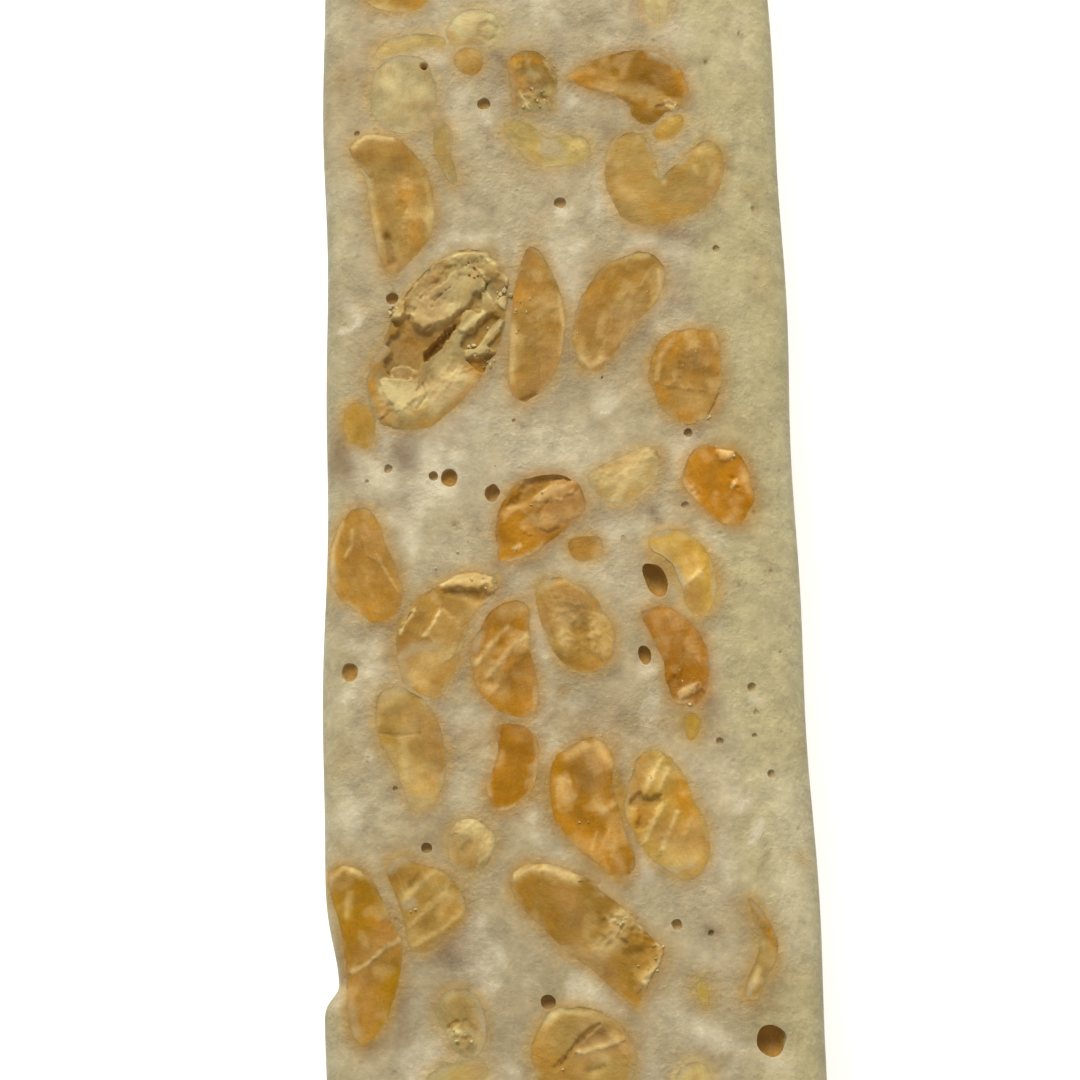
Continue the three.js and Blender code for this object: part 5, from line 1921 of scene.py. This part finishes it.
def bubble_cutter():
    """One hollow per gas bubble: a ball set into the face, wider below its mouth when it is deep."""
    pieces = []
    for number, (x, y, wide, long, turn, deep, neck) in enumerate(BUBBLES):
        bpy.ops.object.select_all(action="DESELECT")
        bpy.ops.mesh.primitive_uv_sphere_add(**BUBBLE_BALL, radius=1.0)
        ball = bpy.context.active_object
        unit = points_of(ball) * MM
        angle = math.radians(turn)
        along, across = unit[:, 0] * 1.4 + number * 9, unit[:, 1] * 1.4 + 0.6 * unit[:, 2]
        stray = 1 + BUBBLE_STRAY * grain(along, across, 1.0, BUBBLE_SEED)
        a, b = unit[:, 0] * stray * long / 2, unit[:, 1] * stray * wide / 2
        u = x + a * math.cos(angle) - b * math.sin(angle)
        v = y + a * math.sin(angle) + b * math.cos(angle)
        level = float(top_height(np.array([x]), np.array([y]))[0])
        w = level - neck * deep + unit[:, 2] * deep * (1 - BUBBLE_FLATTER * neck)
        faces = [tuple(p.vertices) for p in ball.data.polygons]
        pieces.append((np.stack([u, v, w], 1), faces))
        bpy.data.objects.remove(ball)
    return joined_cutter("bubbles", pieces)


def carve(obj, cutter):
    """Cuts the hollows out of a piece and removes them."""
    apply_modifier(obj, "BOOLEAN", operation="DIFFERENCE", solver="MANIFOLD", object=cutter)
    bpy.data.objects.remove(cutter)


def near_faces(points):
    """For each face of the bar, which points lie close under it."""
    x, y, z = points.T
    under = {
        "top": top_height(x, y) - z, "base": z, "left": x - left_edge(y), "right": right_edge(y) - x,
        "far": HALF_LONG - y, "near": HALF_LONG + y,
    }
    return {face: depth < FACE_DEEP for face, depth in under.items()}


def around_nuts(points, nuts):
    """What nuts do to the nougat round them: a halo that is partly painted shade, shade, stain, and the
    colour that seeps from them.
    """
    halo, shade, stain = np.zeros((3, len(points)))
    seeping = np.zeros((len(points), 3))
    close_under = near_faces(points)
    for _, face, loop, _, tone, *_ in nuts:
        u, v = FACES[face][1](points)
        low, high = loop.min(0) - 3, loop.max(0) + 3
        box = close_under[face] & (u > low[0]) & (u < high[0]) & (v > low[1]) & (v < high[1])
        if not box.any():
            continue
        here = np.stack([u[box], v[box]], 1)
        away = np.maximum(0, -depth_within(here, loop)[0])
        halo[box] = np.maximum(halo[box], np.exp(-((away / HALO_REACH) ** 2)))
        near = np.exp(-((away / STAIN_REACH) ** 2))
        closer = np.flatnonzero(box)[near > stain[box]]
        seeping[closer] = 0.55 * np.array(linear(tone)) + 0.65 * np.array(linear(FLESH["honey"]))
        stain[box] = np.maximum(stain[box], near)
        cast, _ = depth_within(here - np.array(CAST), loop)
        size = min(1.0, math.sqrt(abs(signed_area(loop))) / 6)
        shade[box] = np.maximum(shade[box], size * smooth_step(cast, -0.9, 0.5) * (face == "top"))
    return halo, shade, stain, seeping


def edge_shade(x, y, z, near_top):
    """How strongly painted shade tones down the bar's walls, ends and rims, where light leaves them sideways.
    """
    inward = np.maximum(0, np.minimum(right_edge(y) - x, 0.75 * (x - left_edge(y))))
    outer = np.exp(-((inward / EDGE_REACH) ** 1.3)) * (0.62 + 0.2 * smooth_step(z, 6.0, 16.0))
    outer = np.maximum(outer, 0.5 * np.exp(-(((HALF_LONG - np.abs(y)) / EDGE_REACH) ** 2)))
    left, right = LEFT_CORNER, RIGHT_CORNER
    at_left = left["extra"] * smooth_step(y, left["from"], left["to"])
    at_right = right["extra"] * smooth_step(-y, right["from"], right["to"])
    return outer * (1 + np.where(x < 0, at_left, at_right) * near_top)


def bubble_shade(x, y, below):
    """How deep in a gas bubble each point lies, from 0 on the face to 1 in the dark."""
    deep = np.zeros(len(x))
    for bx, by, wide, long, _turn, down, _neck in BUBBLES:
        within = (np.hypot(x - bx, y - by) < 0.62 * max(wide, long)) & (below > 0.06)
        low = smooth_step(below[within], 0.03, 0.3 + 0.25 * down)
        deep[within] = np.maximum(deep[within], low * min(1.0, 0.15 + 0.6 * wide))
    return deep


def nougat_colour(points, nuts):
    """The nougat's tint at each point, and how open to the pits of its rind it is."""
    x, y, z = points.T
    surface = top_height(x, y)
    near_top = z > surface - SKIN_DEEP
    field = marked(points[:, :2], block_marks(), BLOCK_SEED)
    rind_line = RIND["from"] + RIND["slope"] * y + grains(x, y, RIND_LAYERS)
    rind = smooth_step(x, rind_line, rind_line + RIND["fade"])
    rind = np.maximum(rind, 0.5 * smooth_step(-x, 15.2, 17.4))
    rind = np.where(near_top, rind, 1.0)
    halo, shade, stain, seeping = around_nuts(points, nuts)
    along, aside = x + 0.8 * (BAR_HIGH - z), y + 0.6 * (BAR_HIGH - z)
    mottle = grains(along, aside, MOTTLE_LAYERS)
    colour = np.tile(np.array(linear(TINT["heart"])), (len(x), 1))
    colour = blended(colour, TINT["rosy"], 0.5 * patches(along, aside, 6.5, 26, 0.0, 0.9))
    colour = blended(colour, TINT["chalk"], 0.75 * smooth_step(mottle, 0.05, 0.8))
    colour = blended(colour, TINT["rind"], np.where(near_top, rind, 0.6))
    # Painted shade on the bar's walls, ends and rims.
    colour = colour * (1 - edge_shade(x, y, z, near_top)[:, None] * np.array(EDGE_SHADE_LOSS))
    upper = smooth_step(z, BAR_HIGH - 4.5, BAR_HIGH - 1.5)
    # The tan halo round each nut: partly the nut showing through the nougat, partly painted shade.
    near = np.clip(halo * (0.55 + 0.45 * grain(x, y, 2.4, 27)), 0, 1)
    colour = blended(colour, TINT["tan"], 0.75 * near + 0.25 * smooth_step(-mottle, 0.1, 0.9))
    colour = blended(colour, TINT["shade"], 0.5 * shade * (0.7 + 0.5 * grain(x, y, 2.0, 28)))
    # The pale and dark marks: partly the nougat's own tint, partly painted light and painted shade, with
    # painted shade in every dent and dish.
    colour = blended(colour, TINT["chalk"], 0.95 * field["light"] * upper)
    colour = blended(colour, TINT["umber"], 0.95 * field["dark"] * upper)
    share = (0.52 * stain * (1 + 0.3 * grain(x, y, 0.9, 29)))[:, None]
    colour = colour * (1 - share) + seeping * share
    colour = blended(colour, FLESH["honey"], 0.8 * field["warm"] * upper)
    return blended(colour, TINT["hollow"], bubble_shade(x, y, surface - z)), rind


# ---------------------------------------------------------------- materials


def add(tree, kind, feeds=(), **settings):
    """Adds a node, sets its options and its sockets' values, and feeds outputs or values into its inputs."""
    node = tree.nodes.new(kind)
    for key, value in settings.items():
        if hasattr(node, key):
            setattr(node, key, value)
        else:
            node.inputs[key.replace("_", " ")].default_value = value
    for source, socket in feeds:
        if isinstance(source, bpy.types.NodeSocket):
            tree.links.new(source, node.inputs[socket])
        else:
            node.inputs[socket].default_value = source
    return node


def per_mm(size):
    """A noise scale in object space, in metres, for features about size mm across."""
    return 1.0 / (size * MM)


def started(name):
    """A material with an empty node tree."""
    material = bpy.data.materials.new(name)
    material.use_nodes = True
    tree = material.node_tree
    tree.nodes.clear()
    return material, tree


def stored(tree, name, output):
    """What a mesh attribute says."""
    return add(tree, "ShaderNodeAttribute", attribute_name=name).outputs[output]


def noise(tree, place, scale, detail=2.0, rough=0.5, bend=0.0):
    """Soft noise between 0 and 1."""
    return add(
        tree, "ShaderNodeTexNoise", [(place, "Vector")],
        Scale=scale, Detail=detail, Roughness=rough, Distortion=bend,
    ).outputs["Fac"]


def curve_of(tree, source, low, high, to_low, to_high):
    """A value between low and high, brought to lie between two others."""
    return add(
        tree, "ShaderNodeMapRange", [(source, "Value")],
        From_Min=low, From_Max=high, To_Min=to_low, To_Max=to_high,
    ).outputs["Result"]


def summed(tree, first, *shares):
    """A value plus a share of each of the others."""
    for source, share in shares:
        feeds = [(source, 0), (share, 1), (first, 2)]
        first = add(tree, "ShaderNodeMath", feeds, operation="MULTIPLY_ADD").outputs["Value"]
    return first


def shaded(tree, colour, light):
    """A colour made lighter or darker."""
    return add(
        tree, "ShaderNodeVectorMath", [(colour, 0), (light, "Scale")], operation="SCALE"
    ).outputs["Vector"]


def surfaced(tree, colour, rough, bump, **settings):
    """Ends a material in one translucent surface."""
    skin = add(
        tree, "ShaderNodeBsdfPrincipled",
        [(colour, "Base Color"), (rough, "Roughness"), (bump.outputs["Normal"], "Normal")],
        Subsurface_Scale=0.9 * MM, **settings,
    )
    add(tree, "ShaderNodeOutputMaterial", [(skin.outputs["BSDF"], "Surface")])


def aerated_nougat():
    """White nougat: egg white and boiled sugar beaten full of air, pressed and knife-cut. It is soft and
    translucent, so light sinks in and edges blur; the cut is satin with fine pores and shallow dimples."""
    material, tree = started("aerated_nougat_knife_cut")
    place = add(tree, "ShaderNodeTexCoord").outputs["Object"]
    tint, rind = stored(tree, "tint", "Color"), stored(tree, "rind", "Fac")

    crumb = noise(tree, place, per_mm(0.3), 1.0)
    lump = noise(tree, place, per_mm(2.0))
    dimple = noise(tree, place, per_mm(0.75), 1.5)
    speck = noise(tree, place, per_mm(0.12), 1.0)
    fleck = curve_of(tree, noise(tree, place, per_mm(0.5), 2.0, 0.6), 0.58, 0.72, 0.0, 1.0)
    pores = add(tree, "ShaderNodeTexVoronoi", [(place, "Vector")], Scale=per_mm(1.25), Randomness=1.0)
    chosen = add(tree, "ShaderNodeSeparateColor", [(pores.outputs["Color"], "Color")]).outputs["Red"]
    few = curve_of(tree, chosen, 0.62, 0.72, 0.0, 1.0)
    pit = curve_of(tree, pores.outputs["Distance"], 0.0, 0.2, 1.0, 0.0)
    pit = add(tree, "ShaderNodeMath", [(pit, 0), (few, 1)], operation="MULTIPLY").outputs["Value"]

    # Lumps are the nougat's own mottle; crumbs, flecks, dimples and pores are also painted lighter where the
    # bump raises them and darker where it sinks them: painted light and shade.
    light = curve_of(tree, lump, 0.3, 0.7, 0.62, 0.86)
    light = summed(tree, light, (crumb, 0.18), (dimple, 0.36), (fleck, 0.12), (pit, -0.14))
    relief = summed(tree, crumb, (dimple, 1.6), (fleck, 0.4), (speck, 0.42), (pit, -1.1))
    calm = curve_of(tree, noise(tree, place, per_mm(3.4), 1.5), 0.35, 0.65, 0.34, 0.8)
    strength = summed(tree, calm, (rind, 0.04))
    bump = add(tree, "ShaderNodeBump", [(relief, "Height"), (strength, "Strength")], Distance=0.105 * MM)
    rough = summed(tree, curve_of(tree, crumb, 0.3, 0.7, 0.46, 0.62), (rind, 0.06))
    surfaced(
        tree, shaded(tree, tint, light), rough, bump,
        IOR=1.45, Subsurface_Weight=0.45, Subsurface_Radius=(1.0, 0.88, 0.65), Specular_IOR_Level=0.28,
    )
    return material


def cut_peanut(name, gloss, sink=0.4, uneven=0.12):
    """A roasted peanut cut by the knife: dense oily flesh with a faint lengthwise grain, waxy where it is
    smooth, with a thin smear of nougat dragged over its rim."""
    material, tree = started(name)
    place = add(tree, "ShaderNodeTexCoord").outputs["Object"]
    along = add(tree, "ShaderNodeUVMap", uv_map="grain").outputs["UV"]
    flesh, film = stored(tree, "flesh", "Color"), stored(tree, "film", "Fac")
    lines = add(tree, "ShaderNodeMapping", [(along, "Vector")], Scale=(0.5, 1.9, 1.0)).outputs["Vector"]
    fibre = noise(tree, lines, 1.6, 3.0, 0.6, 1.1)
    grit = noise(tree, place, per_mm(0.22), 2.0, 0.6)
    cloud = noise(tree, place, per_mm(1.1))

    light = summed(tree, curve_of(tree, fibre, 0.3, 0.7, 0.79, 0.94), (grit, 0.07), (cloud, 0.2))
    smear = curve_of(tree, summed(tree, film, (cloud, 0.5)), 0.3, 1.1, 0.0, 0.85)
    lit = shaded(tree, flesh, light)
    base = add(tree, "ShaderNodeMix", [(smear, "Factor"), (lit, "A")], data_type="RGBA")
    base.inputs["B"].default_value = (*linear(TINT["smear"]), 1.0)
    relief = summed(tree, grit, (fibre, 0.7), (cloud, 0.8), (smear, 0.4))
    bump = add(tree, "ShaderNodeBump", [(relief, "Height")], Strength=0.5, Distance=uneven * MM)
    rough = summed(tree, curve_of(tree, grit, 0.3, 0.7, gloss, gloss + 0.16), (smear, 0.16))
    surfaced(
        tree, base.outputs["Result"], rough, bump,
        IOR=1.47, Subsurface_Weight=sink, Subsurface_Radius=(1.0, 0.82, 0.45), Specular_IOR_Level=0.1,
    )
    return material


def white_table():
    """A sheet of white acrylic lit from beneath: even and pale, with only a breath of shadow."""
    material, tree = started("white_acrylic_table")
    coat = add(
        tree, "ShaderNodeBsdfPrincipled", Base_Color=(*linear("#f4f4f2"), 1.0), Roughness=0.6,
        Emission_Color=(1.0, 1.0, 1.0, 1.0), Emission_Strength=0.45,
    )
    add(tree, "ShaderNodeOutputMaterial", [(coat.outputs["BSDF"], "Surface")])
    return material


_materials = {}


def finish_for(slot):
    """The material of a slot, made once."""
    if slot not in _materials:
        if slot == "nougat":
            _materials[slot] = aerated_nougat()
        else:
            _materials[slot] = cut_peanut("cut_" + slot, PEANUT_GLOSS[slot])
    return _materials[slot]


# ---------------------------------------------------------------- settings and operators


class NougatSettings(bpy.types.PropertyGroup):
    """What a user would change on the bar or its light."""

    table_size: bpy.props.FloatProperty(
        name="Table size", description="Side of the table under the bar", default=0.9, unit="LENGTH"
    )
    table_level: bpy.props.FloatProperty(
        name="Table level", description="Height of the table's top", default=float(BAR_LOW.z) - 0.02 * MM,
        unit="LENGTH",
    )
    sky: bpy.props.FloatProperty(name="Sky", description="Strength of the even light all round", default=0.5)
    lamp_power: bpy.props.FloatProperty(
        name="Lamp power", description="Power of the large soft lamp", default=13.5, unit="POWER"
    )
    lamp_size: bpy.props.FloatProperty(
        name="Lamp size", description="Side of the large soft lamp", default=0.6, unit="LENGTH"
    )
    lens: bpy.props.FloatProperty(name="Lens", description="Focal length in mm", default=72.0)


_laid = {}


def laid():
    """Where the nuts and chips lie, worked out once."""
    if not _laid:
        _laid["nuts"], _laid["chips"] = lay_out()
    return _laid


class NOUGAT_OT_block(bpy.types.Operator):
    """Model the nougat: its skin, the pockets for nuts and chips, and the open bubbles"""

    bl_idname = "nougat.block"
    bl_label = "Nougat block"

    def execute(self, context):
        skin = nougat_skin()
        pockets = []
        for name, face, loop, *_ in laid()["nuts"]:
            lid = LID["top" if face == "top" else "side"]
            deep = nut_depth(loop) if face == "top" else SIDE_DEPTH
            pockets.append(pocket(face, loop, KERNEL_DEPTH.get(name, deep), lid))
        for _, face, loop, *_ in laid()["chips"]:
            pockets.append(pocket(face, loop, CHIP_DEPTH, LID["chip"]))
        carve(skin, joined_cutter("pockets", pockets))
        carve(skin, bubble_cutter())
        points = points_of(skin)
        tint, rind = nougat_colour(points, laid()["nuts"] + laid()["chips"])
        set_colours(skin, "tint", tint)
        set_numbers(skin, "rind", rind)
        smoothed(skin, 38)
        skin.data.materials.clear()
        skin.data.materials.append(finish_for("nougat"))
        settle(skin, ["nougat"])
        return {"FINISHED"}


class NOUGAT_OT_kernels(bpy.types.Operator):
    """Model every nut with its cut face, and seat it in its pocket"""

    bl_idname = "nougat.kernels"
    bl_label = "Peanut kernels"

    def execute(self, context):
        for name, face, loop, marks, tone, film, step, seed in laid()["nuts"]:
            deep = KERNEL_DEPTH.get(name) or (None if face == "top" else SIDE_DEPTH)
            piece = kernel(name + "_cut", face, loop, marks, tone, film, step, seed, deep)
            piece.data.materials.append(finish_for(SLOT_OF[name]))
            settle(piece, [name])
        return {"FINISHED"}


class NOUGAT_OT_chips(bpy.types.Operator):
    """Model the small chips of nut that show flush in the nougat"""

    bl_idname = "nougat.chips"
    bl_label = "Peanut chips"

    def execute(self, context):
        made = [
            kernel(name, face, loop, marks, tone, film, step, seed, CHIP_DEPTH)
            for name, face, loop, marks, tone, film, step, seed in laid()["chips"]
        ]
        only(made[0])
        for piece in made:
            piece.select_set(True)
        bpy.ops.object.join()
        chips = bpy.context.active_object
        chips.name = chips.data.name = "peanut_chips"
        chips.data.materials.append(finish_for("peanut_golden"))
        settle(chips)
        return {"FINISHED"}


_boxes = {}


def resting_level(x, y):
    """The height in mm of the highest finished surface under a place on the bar."""
    start, down = Vector((x * MM, y * MM, SEARCH_FROM)), Vector((0, 0, -1))
    best = 0.0
    if not _boxes:
        for piece in bpy.data.objects:
            if piece.name.endswith("_cut") or piece.name in ("nougat_block", "peanut_chips"):
                _boxes[piece.name] = (tuple(piece.bound_box[0]), tuple(piece.bound_box[6]))
    for name, (low, high) in _boxes.items():
        if low[0] <= start.x <= high[0] and low[1] <= start.y <= high[1]:
            hit, place, _, _ = bpy.data.objects[name].ray_cast(start, down)
            best = max(best, place.z / MM) if hit else best
    return best


class NOUGAT_OT_crumbs(bpy.types.Operator):
    """Scatter the crumbs and sugar grains that stick to torn nuts and to the cut"""

    bl_idname = "nougat.crumbs"
    bl_label = "Crumbs"

    def execute(self, context):
        draw = np.random.default_rng(CRUMB_SEED)
        bpy.ops.object.select_all(action="DESELECT")
        bpy.ops.mesh.primitive_ico_sphere_add(subdivisions=1, radius=1.0)
        ball = bpy.context.active_object
        unit = points_of(ball) * MM
        sides = [tuple(p.vertices) for p in ball.data.polygons]
        bpy.data.objects.remove(ball)
        points, faces, colours = [], [], []
        for group, (x, y, spread, count, small, big, down) in enumerate(CRUMBS):
            tone = "beige" if group == BEIGE_GROUP else "cream"
            for _ in range(count):
                u, v = draw.normal(x, spread), draw.normal(y, spread)
                size = draw.uniform(small, big)
                rest = resting_level(u, v)
                if rest < BAR_HIGH / 2:
                    continue
                corners, squash = draw.uniform(*CRUMB_CORNERS, (len(unit), 1)), draw.uniform(*CRUMB_SQUASH, 3)
                shape = unit * corners * squash * size / 2
                level = min(rest - down + CRUMB_RESTS * size, CRUMB_CEILING - CRUMB_REACH * size)
                start = sum(len(p) for p in points)
                points.append(shape + np.array([u, v, level]))
                faces += [tuple(start + k for k in f) for f in sides]
                colour = np.array(linear(FLESH[tone])) * draw.uniform(*CRUMB_LIGHT)
                colours.append(np.tile(colour, (len(unit), 1)))
        crumbs = new_piece("crumbs", np.vstack(points), faces)
        set_colours(crumbs, "flesh", np.vstack(colours))
        set_numbers(crumbs, "film", np.zeros(len(crumbs.data.vertices)))
        set_grain(crumbs, np.vstack(points)[:, :2])
        crumbs.data.materials.append(cut_peanut("nut_crumbs", gloss=0.6, sink=0.0, uneven=0.01))
        settle(crumbs)
        return {"FINISHED"}


def aimed(obj, target):
    """Turns a lamp towards a place."""
    obj.rotation_euler = (Vector(target) - obj.location).to_track_quat("-Z", "Y").to_euler()


class NOUGAT_OT_stage(bpy.types.Operator):
    """Set the table, the soft light and the camera"""

    bl_idname = "nougat.stage"
    bl_label = "Table, light and camera"

    def execute(self, context):
        settings = context.scene.nougat
        bpy.ops.object.select_all(action="DESELECT")
        bpy.ops.mesh.primitive_plane_add(size=settings.table_size, location=(0, 0, settings.table_level))
        table = context.active_object
        table.name = "table"
        bpy.ops.object.transform_apply(location=True, rotation=True, scale=True)
        table.data.materials.append(white_table())

        world = bpy.data.worlds.new("even_studio")
        world.use_nodes = True
        background = world.node_tree.nodes["Background"]
        background.inputs["Color"].default_value = (*linear(SKY_COLOUR), 1.0)
        background.inputs["Strength"].default_value = settings.sky
        context.scene.world = world

        lamp = bpy.data.lights.new("soft_lamp", "AREA")
        lamp.shape, lamp.size, lamp.energy = "SQUARE", settings.lamp_size, settings.lamp_power
        lamp.color = linear(LAMP_COLOUR)
        holder = bpy.data.objects.new("soft_lamp", lamp)
        context.scene.collection.objects.link(holder)
        holder.location = Vector(LAMP_PLACE) * MM
        aimed(holder, (0, 0, BAR_HIGH * MM))

        camera = bpy.data.cameras.new("camera")
        camera.lens, camera.sensor_width = settings.lens, 36.0
        camera.clip_start, camera.clip_end = 0.005, 20.0
        eye = bpy.data.objects.new("camera", camera)
        context.scene.collection.objects.link(eye)
        eye.location = Vector(CAMERA["place"]) * MM
        eye.rotation_euler = [math.radians(a) for a in CAMERA["turn"]]
        context.scene.camera = eye
        context.scene.view_settings.view_transform = "Standard"
        return {"FINISHED"}


class NOUGAT_PT_panel(bpy.types.Panel):
    """Lists the steps that make the bar"""

    bl_idname = "NOUGAT_PT_panel"
    bl_label = "Nougat bar"
    bl_space_type = "VIEW_3D"
    bl_region_type = "UI"
    bl_category = "Nougat"

    def draw(self, context):
        for step in STEPS:
            self.layout.operator(step.bl_idname)
        for name in NougatSettings.__annotations__:
            self.layout.prop(context.scene.nougat, name)


STEPS = (NOUGAT_OT_block, NOUGAT_OT_kernels, NOUGAT_OT_chips, NOUGAT_OT_crumbs, NOUGAT_OT_stage)
CLASSES = (NougatSettings, *STEPS, NOUGAT_PT_panel)


def register():
    for item in CLASSES:
        bpy.utils.register_class(item)
    bpy.types.Scene.nougat = bpy.props.PointerProperty(type=NougatSettings)


def unregister():
    del bpy.types.Scene.nougat
    for item in reversed(CLASSES):
        bpy.utils.unregister_class(item)


def main():
    register()
    for step in STEPS:
        group, name = step.bl_idname.split(".")
        getattr(getattr(bpy.ops, group), name)()


if __name__ == "__main__":
    main()
